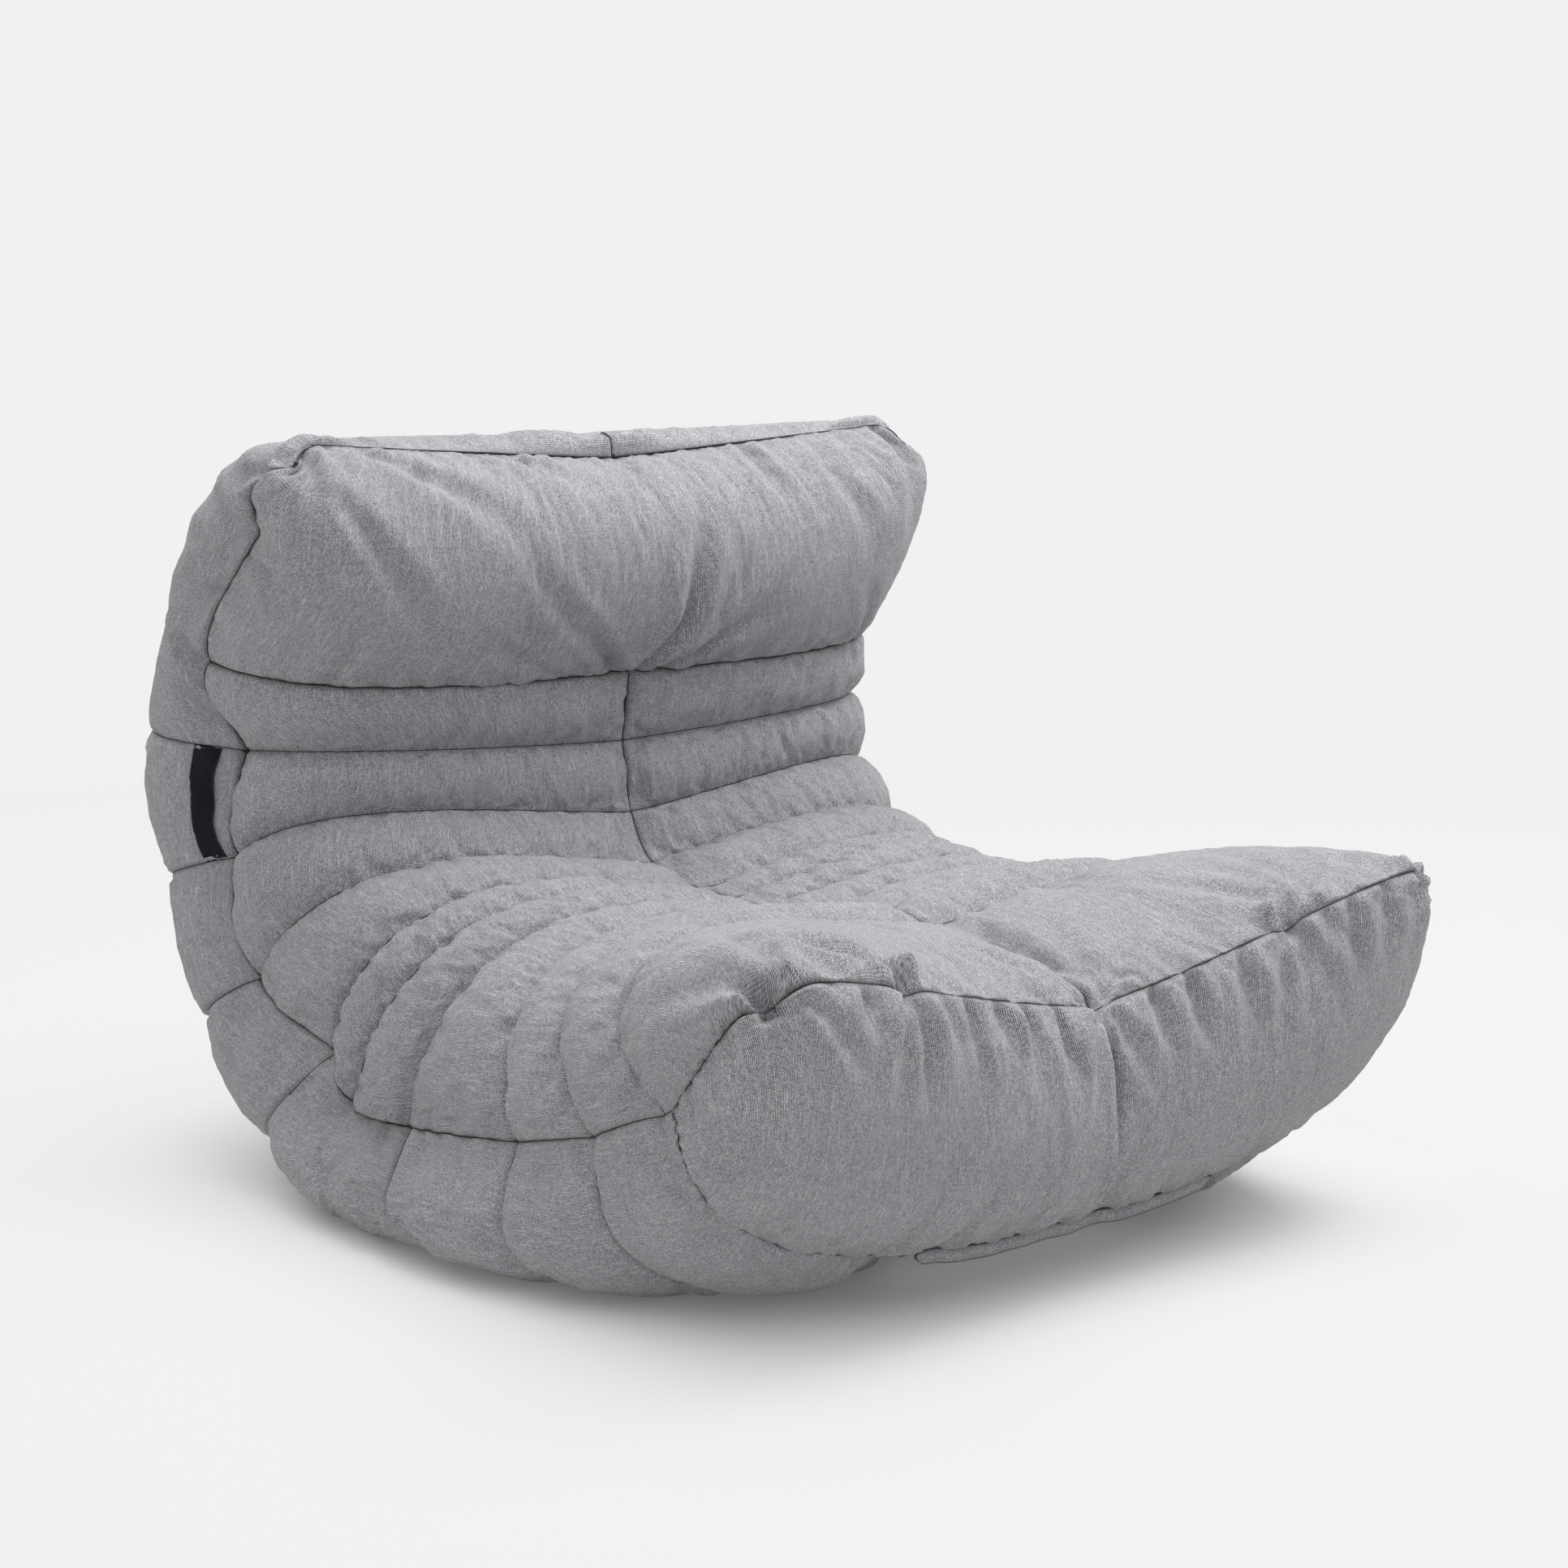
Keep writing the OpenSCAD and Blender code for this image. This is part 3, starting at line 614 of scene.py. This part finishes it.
def seam_gap(grid, lines, middle=None):
    """Distance of each point from the nearest seam, in metres; lines are the sewn rows."""
    down, across = arc_of(grid, 0), arc_of(grid, 1)
    gap = np.minimum(across, across[:, -1:] - across)
    for row in lines:
        gap = np.minimum(gap, np.abs(down - down[row]))
    if middle is not None:
        gap[seat:] = np.minimum(gap, np.abs(across - across[:, middle:middle + 1]))[seat:]
    return gap*MM


def grid_piece(name, grid, uv, material, slot, mirrored=False, rows=None, cols=None, thick=2.2,
               seam=None):
    """One sewn panel: a grid of points in millimetres, thickened inwards."""
    i0, i1 = rows or (0, grid.shape[0] - 1)
    j0, j1 = cols or (0, grid.shape[1] - 1)
    part = grid[i0:i1 + 1, j0:j1 + 1]
    upper, lower = uv if isinstance(uv, tuple) else (uv[:-1], uv[1:])
    upper, lower = upper[i0:i1, j0:j1 + 1], lower[i0:i1, j0:j1 + 1]
    coords = np.stack([upper[:, :-1], lower[:, :-1], lower[:, 1:], upper[:, 1:]], 2)
    r, c = part.shape[:2]
    quads = faces_of(np.arange(r*c).reshape(r, c))
    if mirrored:
        quads = quads[:, ::-1]
    mesh = bpy.data.meshes.new(name)
    mesh.from_pydata((part.reshape(-1, 3)*MM).tolist(), [], quads.tolist())
    layer = mesh.uv_layers.new(name="cloth")
    coords = (coords[:, :, ::-1] if mirrored else coords).astype(np.float32)
    layer.data.foreach_set("uv", coords.ravel())
    seam = np.ones(grid.shape[:2]) if seam is None else seam
    mesh.attributes.new("seam", "FLOAT", "POINT").data.foreach_set(
        "value", seam[i0:i1 + 1, j0:j1 + 1].astype(np.float32).ravel())
    mesh.validate()
    mesh.shade_smooth()
    obj = bpy.data.objects.new(name, mesh)
    scene.collection.objects.link(obj)
    mesh.materials.append(material)
    solid = obj.modifiers.new("thickness", "SOLIDIFY")
    solid.thickness, solid.offset = thick*MM, -1
    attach(obj, "chair")
    return obj


# ---- materials ---------------------------------------
class Paint:
    """A procedural material, built node by node."""

    def __init__(self, name, roughness, sheen=0.0, metallic=0.0, specular=0.25):
        self.mat = bpy.data.materials.new(name)
        self.mat.use_nodes = True
        self.tree = self.mat.node_tree
        self.tree.nodes.clear()
        self.shader = self.tree.nodes.new("ShaderNodeBsdfPrincipled")
        out = self.tree.nodes.new("ShaderNodeOutputMaterial")
        self.tree.links.new(self.shader.outputs[0], out.inputs[0])
        for key, value in (("Roughness", roughness), ("Metallic", metallic),
                           ("Specular IOR Level", specular), ("Sheen Weight", sheen),
                           ("Sheen Roughness", 0.45)):
            self.shader.inputs[key].default_value = value

    def put(self, socket, value):
        if isinstance(value, bpy.types.NodeSocket):
            self.tree.links.new(value, socket)
        else:
            socket.default_value = value

    def math(self, op, *values):
        node = self.tree.nodes.new("ShaderNodeMath")
        node.operation = op
        for socket, value in zip(node.inputs, values):
            self.put(socket, value)
        return node.outputs[0]

    def times(self, a, b):
        return self.math("MULTIPLY", a, b)

    def plus(self, a, b):
        return self.math("ADD", a, b)

    def scaled(self, value, by, add):
        return self.math("MULTIPLY_ADD", value, by, add)

    def coords(self, uv=None):
        """x, y and z of the cloth's own coordinates, or of the object's, in metres."""
        if uv:
            node = self.tree.nodes.new("ShaderNodeUVMap")
            node.uv_map = uv
            out = node.outputs[0]
        else:
            out = self.tree.nodes.new("ShaderNodeTexCoord").outputs["Object"]
        split = self.tree.nodes.new("ShaderNodeSeparateXYZ")
        self.put(split.inputs[0], out)
        return out, split.outputs[0], split.outputs[1], split.outputs[2]

    def vector(self, x=0.0, y=0.0, z=0.0):
        node = self.tree.nodes.new("ShaderNodeCombineXYZ")
        for socket, value in zip(node.inputs, (x, y, z)):
            self.put(socket, value)
        return node.outputs[0]

    def attribute(self, name):
        node = self.tree.nodes.new("ShaderNodeAttribute")
        node.attribute_name = name
        return node.outputs["Fac"]

    def noise(self, vector, scale, detail=2.0, rough=0.5):
        node = self.tree.nodes.new("ShaderNodeTexNoise")
        for key, value in (("Vector", vector), ("Scale", scale), ("Detail", detail),
                           ("Roughness", rough)):
            self.put(node.inputs[key], value)
        return node.outputs[0]

    def speck(self, vector):
        """A random value for every whole-numbered place."""
        node = self.tree.nodes.new("ShaderNodeTexWhiteNoise")
        self.put(node.inputs["Vector"], vector)
        return node.outputs["Value"]

    def cells(self, vector, scale):
        node = self.tree.nodes.new("ShaderNodeTexVoronoi")
        self.put(node.inputs["Vector"], vector)
        self.put(node.inputs["Scale"], scale)
        return node.outputs[0]

    def between(self, value, low, high, to=(0.0, 1.0)):
        node = self.tree.nodes.new("ShaderNodeMapRange")
        node.interpolation_type = "SMOOTHSTEP"
        for socket, v in zip(node.inputs, (value, low, high, *to)):
            self.put(socket, v)
        return node.outputs[0]

    def mix(self, share, a, b, kind="MIX"):
        node = self.tree.nodes.new("ShaderNodeMix")
        node.data_type, node.blend_type = "RGBA", kind
        self.put(node.inputs[0], share)
        for socket, value in ((node.inputs[6], a), (node.inputs[7], b)):
            self.put(socket, value if isinstance(value, bpy.types.NodeSocket) else (*value, 1.0))
        return node.outputs[2]

    def finish(self, colour, height=None, depth=0.0004, strength=0.6, rough=None):
        self.put(self.shader.inputs["Base Color"], colour)
        if rough is not None:
            self.put(self.shader.inputs["Roughness"], rough)
        if height is not None:
            bump = self.tree.nodes.new("ShaderNodeBump")
            bump.inputs["Strength"].default_value = strength
            bump.inputs["Distance"].default_value = depth
            self.put(bump.inputs["Height"], height)
            self.tree.links.new(bump.outputs[0], self.shader.inputs["Normal"])
        return self.mat


def plain_weave(m, u, v):
    """Height of a plain weave, u and v counted in threads, and which threads are where."""
    iu, iv = m.math("FLOOR", u), m.math("FLOOR", v)
    round_u = m.math("SINE", m.times(m.math("FRACT", u), math.pi))
    round_v = m.math("SINE", m.times(m.math("FRACT", v), math.pi))
    wave_u = m.math("SINE", m.times(m.plus(v, iu), math.pi))
    wave_v = m.math("SINE", m.times(m.plus(u, iv), math.pi))
    warp = m.times(round_u, m.scaled(wave_u, 0.36, 0.6))
    weft = m.times(round_v, m.scaled(wave_v, -0.36, 0.6))
    return m.math("MAXIMUM", warp, weft), m.math("GREATER_THAN", warp, weft), iu, iv


def linen(name, dark, light, fleck, pitch=0.00118, flecks=1.0):
    """Slubby linen-look upholstery cloth; pitch is one thread in metres."""
    m = Paint(name, 0.92, sheen=0.2, specular=0.18)
    uv, x, y, _ = m.coords("cloth")
    wobble = m.noise(uv, 45.0, 2.0)
    u = m.plus(m.math("DIVIDE", x, pitch), m.times(wobble, 0.6))
    v = m.plus(m.math("DIVIDE", y, pitch), m.times(wobble, 0.5))
    height, on_warp, iu, iv = plain_weave(m, u, v)
    # every thread has its own tone, which drifts along it, and every crossing a little more
    warp_run = m.noise(m.vector(m.times(iu, 5.37), m.times(v, 0.028)), 1.0, 3.0, 0.55)
    weft_run = m.noise(m.vector(m.times(u, 0.05), m.times(iv, 4.71), 7.3), 1.0, 3.0, 0.6)
    thread = m.plus(m.times(on_warp, warp_run),
                    m.times(m.math("SUBTRACT", 1.0, on_warp), m.scaled(weft_run, 0.6, 0.2)))
    crossing = m.speck(m.vector(iu, iv))
    cloud = m.noise(uv, 9.0, 3.0)
    tone = m.scaled(thread, 0.40, m.times(crossing, 0.36))
    tone = m.plus(tone, m.scaled(cloud, 0.12, 0.07))
    # painted shade: the cloth is darker where the weave sinks between threads
    tone = m.plus(tone, m.scaled(height, 1.10, -0.76))
    tone = m.plus(tone, m.scaled(on_warp, 0.26, -0.13))
    colour = m.mix(m.between(tone, -0.05, 1.05), dark, light)
    # slubs: thick pale lengths of one thread, seen as a dotted line where it comes to the top
    warp_slub = m.noise(m.vector(m.times(iu, 3.13), m.times(v, 0.055), 4.0), 1.0, 1.0)
    weft_slub = m.noise(m.vector(m.times(u, 0.10), m.times(iv, 3.71), 2.0), 1.0, 1.0)
    slub = m.plus(m.times(m.between(warp_slub, 0.575, 0.68), on_warp),
                  m.times(m.between(weft_slub, 0.69, 0.78), m.scaled(on_warp, -0.55, 0.6)))
    slub = m.times(slub, flecks)
    colour = m.mix(m.math("MINIMUM", m.times(slub, 0.30), 1.0), colour, fleck)
    # painted shade: a near-black line down each seam's groove, and on the cloth that dips into it
    seam = m.attribute("seam")
    line = m.between(seam, 0.0004, 0.0012, (1.0, 0.0))
    colour = m.mix(m.between(seam, 0.001, 0.008, (0.22, 0.0)), colour, dark)
    colour = m.mix(m.times(line, 0.85), colour, (0.018, 0.018, 0.021))
    relief = m.plus(height, m.times(slub, 0.5))
    relief = m.plus(relief, m.times(crossing, 0.4))
    relief = m.math("SUBTRACT", relief, m.times(line, 2.0))
    rough = m.scaled(cloud, 0.12, 0.84)
    return m.finish(colour, relief, 0.00060, 0.8, rough)


def ribbon_weave(name):
    """Dark woven ribbon with a firmer selvedge and fine cross ribs."""
    m = Paint(name, 0.6, sheen=0.02, specular=0.12)
    uv, x, y, _ = m.coords("cloth")
    rib = m.math("SINE", m.times(y, 2*math.pi/0.0011))
    fine = m.math("SINE", m.times(x, 2*math.pi/0.0007))
    edge = m.between(m.math("ABSOLUTE", x), 0.0118, 0.0126)
    worn = m.noise(uv, 180.0, 3.0)
    colour = m.mix(worn, (0.004, 0.0045, 0.008), (0.009, 0.010, 0.016))
    colour = m.mix(m.times(edge, 0.7), colour, (0.026, 0.028, 0.038))
    relief = m.plus(rib, m.times(fine, 0.5))
    return m.finish(colour, m.plus(relief, m.times(edge, 1.5)), 0.00022, 0.6)


def spun(name, dark, light, pitch):
    """Plain thin cloth on a piece without cloth coordinates."""
    m = Paint(name, 0.8, sheen=0.1)
    obj, x, y, z = m.coords()
    a = m.math("DIVIDE", x, pitch)
    b = m.math("DIVIDE", m.plus(y, z), pitch)
    height, _, _, _ = plain_weave(m, a, b)
    cloud = m.noise(obj, 30.0, 3.0)
    # random cloudy tone, and painted shade where the weave sinks between threads
    tone = m.plus(m.times(cloud, 0.6), m.times(height, 0.4))
    return m.finish(m.mix(tone, dark, light), height, 0.0002, 0.5)


def fibre(name):
    """Loose polyester wadding."""
    m = Paint(name, 0.95, sheen=0.5)
    obj, x, y, z = m.coords()
    tuft = m.noise(m.vector(m.times(x, 0.35), y, z), 420.0, 4.0, 0.7)
    cloud = m.noise(obj, 40.0, 3.0)
    return m.finish(m.mix(cloud, (0.72, 0.72, 0.69), (0.88, 0.88, 0.86)),
                    m.plus(tuft, cloud), 0.0016, 0.7)


def beads(name):
    """Expanded polystyrene beads, about 4 mm each."""
    m = Paint(name, 0.6, specular=0.4)
    obj, _, _, _ = m.coords()
    dome = m.cells(obj, 240.0)
    tone = m.noise(obj, 260.0, 1.0)
    # painted shade: each bead turns grey towards its cell edge, in the gaps between beads
    colour = m.mix(m.between(dome, 0.25, 0.6), (0.90, 0.90, 0.90), (0.55, 0.56, 0.58))
    colour = m.mix(m.times(tone, 0.2), colour, (0.97, 0.97, 0.96))
    return m.finish(colour, m.math("SUBTRACT", 1.0, dome), 0.002, 0.9)


def cast_metal(name):
    m = Paint(name, 0.34, metallic=1.0, specular=0.5)
    obj, x, y, z = m.coords()
    brush = m.noise(m.vector(m.times(x, 0.1), y, z), 1800.0, 2.0)
    rub = m.noise(obj, 160.0, 3.0)
    colour = m.mix(rub, (0.46, 0.47, 0.49), (0.63, 0.64, 0.66))
    return m.finish(colour, brush, 0.00005, 0.5, m.scaled(rub, 0.25, 0.22))


def zip_cloth(name):
    """Herringbone zip tape beside a ribbed coil."""
    m = Paint(name, 0.7, sheen=0.15)
    obj, x, y, z = m.coords()
    slant = m.plus(m.math("DIVIDE", x, 0.0009),
                   m.math("PINGPONG", m.math("DIVIDE", y, 0.0012), 1.0))
    rib = m.math("SINE", m.times(slant, 2*math.pi))
    cloud = m.noise(obj, 90.0, 3.0)
    return m.finish(m.mix(cloud, (0.10, 0.10, 0.115), (0.17, 0.17, 0.19)), rib, 0.0002, 0.6)


cover = linen("linen_cover", (0.076, 0.074, 0.083), (0.610, 0.601, 0.630), (0.92, 0.91, 0.93))
under = linen("linen_under", (0.10, 0.10, 0.105), (0.30, 0.30, 0.31), (0.40, 0.40, 0.41),
              flecks=0.4)
ribbon = ribbon_weave("label_ribbon")
finishes = {
    "wadding": fibre("wadding_fibre"),
    "liner_fabric": spun("liner_cloth", (0.66, 0.66, 0.64), (0.82, 0.82, 0.80), 0.0006),
    "bead_fill": beads("polystyrene_beads"),
    "zip_metal": cast_metal("zip_metal"),
    "zip_tape": zip_cloth("zip_tape"),
    "cover_fabric": cover, "base_fabric": under, "label_ribbon": ribbon}
slots = {part["node"]: part["material_slot"] for part in frame["record"]["subparts"]}
for name, slot_name in slots.items():
    node = nodes[name]
    if not node.data.materials:
        node.data.materials.append(None)
    for k in range(len(node.material_slots)):
        node.material_slots[k].material = finishes[slot_name]


# ---- the pieces --------------------------------------
face_uv = cloth_uv(face, face_strips, (0, 0), MIDDLE)
shell_uv = cloth_uv(shell, shell_strips, (2.3, 0.4), SHELL_COLS//2)
across, down = arc_of(front, 1)[FRONT_ROWS//2], arc_of(front, 0)
front_uv = np.stack([across - across.max()/2 + 0*down, down - down[FRONT_ROWS//2]], -1)
front_uv = front_uv*MM + (-2.1, 0.9)
face_seam = seam_gap(face_p, [row_of(k) for k in FACE_SEAMS], MIDDLE)
shell_sewn = [BAND + row_of(k) for k in SHELL_SEAMS[1:-1]] + [0]
right_seam, left_seam = (seam_gap(grid, shell_sewn) for grid in (right_p, left_p))
front_seam = seam_gap(front_p, [0, FRONT_ROWS])
quilt_rows = (seat, len(ROWS) - 1)
for name, node, fill, grid, uv, seam, cut in (
        ("headrest_cover", "headrest_panel", 0.65, face_p, face_uv, face_seam,
         dict(rows=(0, seat))),
        ("seat_quilt_cover_left", "seat_quilt_left", 0.7, face_p, face_uv, face_seam,
         dict(rows=quilt_rows, cols=(0, MIDDLE))),
        ("seat_quilt_cover_right", "seat_quilt_right", 0.7, face_p, face_uv, face_seam,
         dict(rows=quilt_rows, cols=(MIDDLE, 2*MIDDLE))),
        ("side_cover_left", "side_shell_left", 0.6, left_p, shell_uv, left_seam,
         dict(mirrored=True)),
        ("side_cover_right", "side_shell_right", 0.6, right_p, shell_uv, right_seam, {}),
        ("front_cover", "front_panel", 0.6, front_p, front_uv, front_seam, {})):
    piece = grid_piece(name, grid, uv, cover, "cover_fabric", seam=seam, **cut)
    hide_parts(node)

# base: rings from the seam inwards; it tucks in under the front and lies flat on the floor
BASE_Z, FLAT_Y = 1.6, (-230, 260)     # height and reach of the part that lies flat
rim = right_p[BAND + row_of(BASE_START):, -1]
low_seam = front_p[-1]
under_front = low_seam[np.abs(low_seam[:, 0]) < rim[-1, 0] - 3][::-1]
loop = np.concatenate([rim, under_front, left_p[BAND + row_of(BASE_START):, -1][::-1]])
is_front = np.zeros(len(loop))
is_front[len(rim):len(rim) + len(under_front)] = 1
is_front = np.convolve(np.pad(is_front, 20, mode="edge"), np.ones(41)/41, "valid")
aim = np.stack([0*loop[:, 0], np.clip(loop[:, 1], *FLAT_Y), 0*loop[:, 0]], -1)
way = (aim - loop)*[1, 1, 0]
room = np.linalg.norm(way, axis=1)
way /= np.maximum(room, 1e-6)[:, None]
seam_z = np.maximum(loop[:, 2], 0.6)
tuck = (16 + 3.4*seam_z)*(1 - is_front) + 260*is_front
rings = []
for share in (0, 0.04, 0.1, 0.2, 0.32, 0.46, 0.6, 0.74, 0.88, 1.0, 1.25, 2.2):
    ring_p = loop + way*np.minimum(tuck*share, 0.96*room)[:, None]
    sides, front_z = (1 - min(share, 1))**1.4, (1 - min(share, 1))**1.05
    ring_p[:, 2] = np.maximum(seam_z*(sides*(1 - is_front) + front_z*is_front), BASE_Z)
    rings.append(ring_p)
last_ring = loop + way*0.985*room[:, None]
last_ring[:, 2] = BASE_Z
base_p = np.array(rings + [last_ring])
base_p[0] = loop
base_p[0, :, 2] = np.maximum(loop[:, 2], CLEARANCE)
base_uv = np.stack([base_p[..., 0], base_p[..., 1]], -1)*MM
base_cover = grid_piece("base_cover", base_p, base_uv, under, "base_fabric", mirrored=True,
                        thick=1.2)
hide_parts("base_panel")


def surface_tree(grid, ups):
    """A grid's points for laid_on to look up, with its outward directions."""
    tree = KDTree(grid.shape[0]*grid.shape[1])
    for k, q in enumerate(grid.reshape(-1, 3)):
        tree.insert(q, k)
    tree.balance()
    return tree, grid.reshape(-1, 3), ups.reshape(-1, 3)


def laid_on(points, tree_data, gap):
    """Moves points along the nearest surface normal until they lie gap above it."""
    tree, where, ups = tree_data
    out = points.copy().reshape(-1, 3)
    gap = np.broadcast_to(gap, points.shape[:-1]).reshape(-1)
    for n, q in enumerate(out):
        near = tree.find_n(q, 4)
        w = np.array([1/(d + 0.5) for _, _, d in near])
        k = [i for _, i, _ in near]
        up = (ups[k]*w[:, None]).sum(0)
        up /= np.linalg.norm(up)
        off = ((where[k] - q) @ up*w).sum()/w.sum()
        out[n] = q + up*(off + gap[n])
    return out.reshape(points.shape)


# side label: a folded ribbon with both ends sewn into the shell's seams
LABEL_FLAT = (0.028, 0.134)
label_t = np.linspace(0, 1, 33)
label_c = np.linspace(0, 1, 9)
left_tree = surface_tree(left_p, outward(left_p[:, ::-1])[:, ::-1])
label_bow = np.sin(np.pi*label_t)
g_near = -(1.020 - 0.014*label_t + 0.014*label_bow)[:, None]
g_far = -(1.070 - 0.024*label_t + 0.008*label_bow)[:, None]
label_g = g_far + (g_near - g_far)*label_c[None]
slack = (0.5 + 3.2*np.sin(np.pi*label_t)[:, None]**0.8*(1 + 0.5*(1 - label_c)[None])
         + 0.8*np.sin(3*np.pi*label_t)[:, None])
slack[0] = slack[-1] = -1.0
label_p = laid_on(skin((4.0 + label_t)[:, None], label_g), left_tree, slack)
label_uv = np.stack([(label_c[None] - 0.5)*LABEL_FLAT[0] + 0*label_t[:, None],
                     label_t[:, None]*LABEL_FLAT[1] + 0*label_c[None]], -1)
label = grid_piece("side_label", label_p, label_uv, ribbon, "label_ribbon", thick=0.9)
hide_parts("woven_label")

# zip placket: a folded strip that comes out from under the front panel's lower edge
PLACKET_HALF, PLACKET_TUCK, PLACKET_DROP, PLACKET_END = 204, 15.0, 15.3, 14
strip_x = np.linspace(-PLACKET_HALF, PLACKET_HALF, 69)
hang = np.linspace(0, 1, 5)[:, None]
front_arc = arc_of(front_p[::-1], 0)
top_edge = []
for x in strip_x:
    j = np.abs(low_seam[:, 0] - x).argmin()
    top_edge.append([np.interp(PLACKET_TUCK, front_arc[:, j], front_p[::-1, j, k])
                     for k in range(3)])
top_edge = np.array(top_edge)
for _ in range(12):
    top_edge[1:-1] = 0.5*top_edge[1:-1] + 0.25*(top_edge[:-2] + top_edge[2:])
to_end = np.minimum(strip_x - strip_x.min(), strip_x.max() - strip_x)
drop = PLACKET_DROP*np.clip(to_end/PLACKET_END, 0.08, 1)**0.5
strip_p = np.stack([strip_x + 0*hang, top_edge[:, 1] + 0.3 - 1.4*np.sin(np.pi*hang) + 2.0*hang,
                    top_edge[:, 2] - drop*hang], -1)
strip_p[..., 1] += 0.35*np.sin(strip_x/17.0)
strip_uv = np.stack([strip_p[..., 0], PLACKET_DROP*hang + 0*strip_p[..., 0]], -1)*MM
placket = grid_piece("zip_placket_strip", strip_p, strip_uv, cover, "cover_fabric", thick=1.6,
                     seam=seam_gap(strip_p, [0, len(strip_p) - 1]))
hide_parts("zip_placket")


# ---- inside the cover: wadding, bead bags and the wall between the bags ----
def soft_copy(name, node, wander, size, seed):
    """A softened copy of a CAD solid: its surface wanders a little and its edges are round."""
    mesh = nodes[node].data.copy()
    mesh.name = name
    soft = bmesh.new()
    soft.from_mesh(mesh)
    soft.transform(nodes[node].matrix_world)
    bmesh.ops.remove_doubles(soft, verts=soft.verts, dist=0.00001)
    points = np.array([v.co for v in soft.verts])/MM
    step = np.stack([lumps(points, size, seed + k) for k in range(3)], -1)*wander*MM
    for vertex, d in zip(soft.verts, step):
        vertex.co += Vector(d)
    soft.to_mesh(mesh)
    soft.free()
    mesh.shade_smooth()
    obj = bpy.data.objects.new(name, mesh)
    scene.collection.objects.link(obj)
    rounding = obj.modifiers.new("rounding", "SUBSURF")
    rounding.levels = rounding.render_levels = 1
    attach(obj, "chair")
    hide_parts(node)
    return obj


for name, node, wander, size, seed, fill in (
        ("headrest_filling", "headrest_wadding", 0.7, 30, 101, 0.5),
        ("quilt_filling_left", "quilt_wadding_left", 0.7, 30, 104, 0.5),
        ("quilt_filling_right", "quilt_wadding_right", 0.7, 30, 107, 0.5),
        ("back_bag", "back_liner", 1.2, 60, 110, 0.7),
        ("seat_bag", "seat_liner", 1.2, 60, 113, 0.75),
        ("back_beads", "back_bead_fill", 1.2, 60, 110, 0.7),
        ("seat_beads", "seat_bead_fill", 1.2, 60, 113, 0.75)):
    soft_copy(name, node, wander, size, seed)
baffle = soft_copy("baffle_cloth", "chamber_baffle", 1.2, 60, 116)


# ---- studio ------------------------------------------
def studio_floor(grey, albedo):
    """Pale floor that takes a soft shadow near the object and fades into the backdrop."""
    m = bpy.data.materials.new("studio_floor")
    m.use_nodes = True
    tree = m.node_tree
    tree.nodes.clear()
    out = tree.nodes.new("ShaderNodeOutputMaterial")
    plain = tree.nodes.new("ShaderNodeBsdfDiffuse")
    plain.inputs["Color"].default_value = (albedo, albedo, albedo, 1)
    light = tree.nodes.new("ShaderNodeEmission")
    light.inputs["Color"].default_value = (*grey, 1)
    place_at = tree.nodes.new("ShaderNodeTexCoord")
    length = tree.nodes.new("ShaderNodeVectorMath")
    length.operation = "LENGTH"
    far = tree.nodes.new("ShaderNodeMapRange")
    far.interpolation_type = "SMOOTHSTEP"
    open_sky = tree.nodes.new("ShaderNodeAmbientOcclusion")
    open_sky.samples = 8
    open_sky.inputs["Distance"].default_value = 0.28
    lift = tree.nodes.new("ShaderNodeMapRange")
    for node, values in ((far, (1.1, 3.4, 0.0, 1.0)), (lift, (0.22, 0.85, 0.10, 0.88))):
        for socket, value in zip(node.inputs[1:5], values):
            socket.default_value = value
    share = tree.nodes.new("ShaderNodeMath")
    share.operation = "MAXIMUM"
    both = tree.nodes.new("ShaderNodeMixShader")
    for source, target in (
            (place_at.outputs["Object"], length.inputs[0]),
            (length.outputs["Value"], far.inputs[0]),
            (open_sky.outputs["AO"], lift.inputs[0]), (far.outputs[0], share.inputs[0]),
            (lift.outputs[0], share.inputs[1]), (share.outputs[0], both.inputs[0]),
            (plain.outputs[0], both.inputs[1]), (light.outputs[0], both.inputs[2]),
            (both.outputs[0], out.inputs[0])):
        tree.links.new(source, target)
    return m


backdrop = (0.880, 0.880, 0.880)
floor_mesh = bpy.data.meshes.new("floor")
FLOOR_RADIUS = 40
ring = [(FLOOR_RADIUS*math.cos(k*math.pi/32), FLOOR_RADIUS*math.sin(k*math.pi/32), 0)
        for k in range(64)]
floor_mesh.from_pydata(ring, [], [list(range(64))])
floor = bpy.data.objects.new("floor", floor_mesh)
floor_mesh.materials.append(studio_floor(backdrop, 0.60))
scene.collection.objects.link(floor)

world = bpy.data.worlds.new("studio")
scene.world = world
world.use_nodes = True
world.node_tree.nodes["Background"].inputs["Color"].default_value = (*backdrop, 1)


def softbox(name, where, aim, size, power, colour):
    data = bpy.data.lights.new(name, "AREA")
    data.shape, data.size, data.size_y = "RECTANGLE", size[0], size[1]
    data.energy, data.color = power, colour
    lamp = bpy.data.objects.new(name, data)
    lamp.location = where
    lamp.rotation_euler = (Vector(aim) - Vector(where)).to_track_quat("-Z", "Y").to_euler()
    scene.collection.objects.link(lamp)


softbox("key", (1.7, -0.7, 3.2), (0.0, 0.0, 0.3), (1.5, 1.5), 86.0, (1.0, 0.99, 0.98))
softbox("top", (0.2, 0.5, 3.4), (0.0, 0.0, 0.3), (2.2, 2.2), 54.0, (0.98, 0.985, 1.0))

camera_data = bpy.data.cameras.new("camera")
camera_data.lens, camera_data.sensor_width = 71.3, 36.0
camera = bpy.data.objects.new("camera", camera_data)
camera.location = (-2.098, -2.5604, 0.948)
camera.rotation_euler = (math.radians(81.05), 0, math.radians(-40))
scene.collection.objects.link(camera)
scene.camera = camera
scene.view_settings.view_transform = "Standard"
scene.view_settings.look = "None"
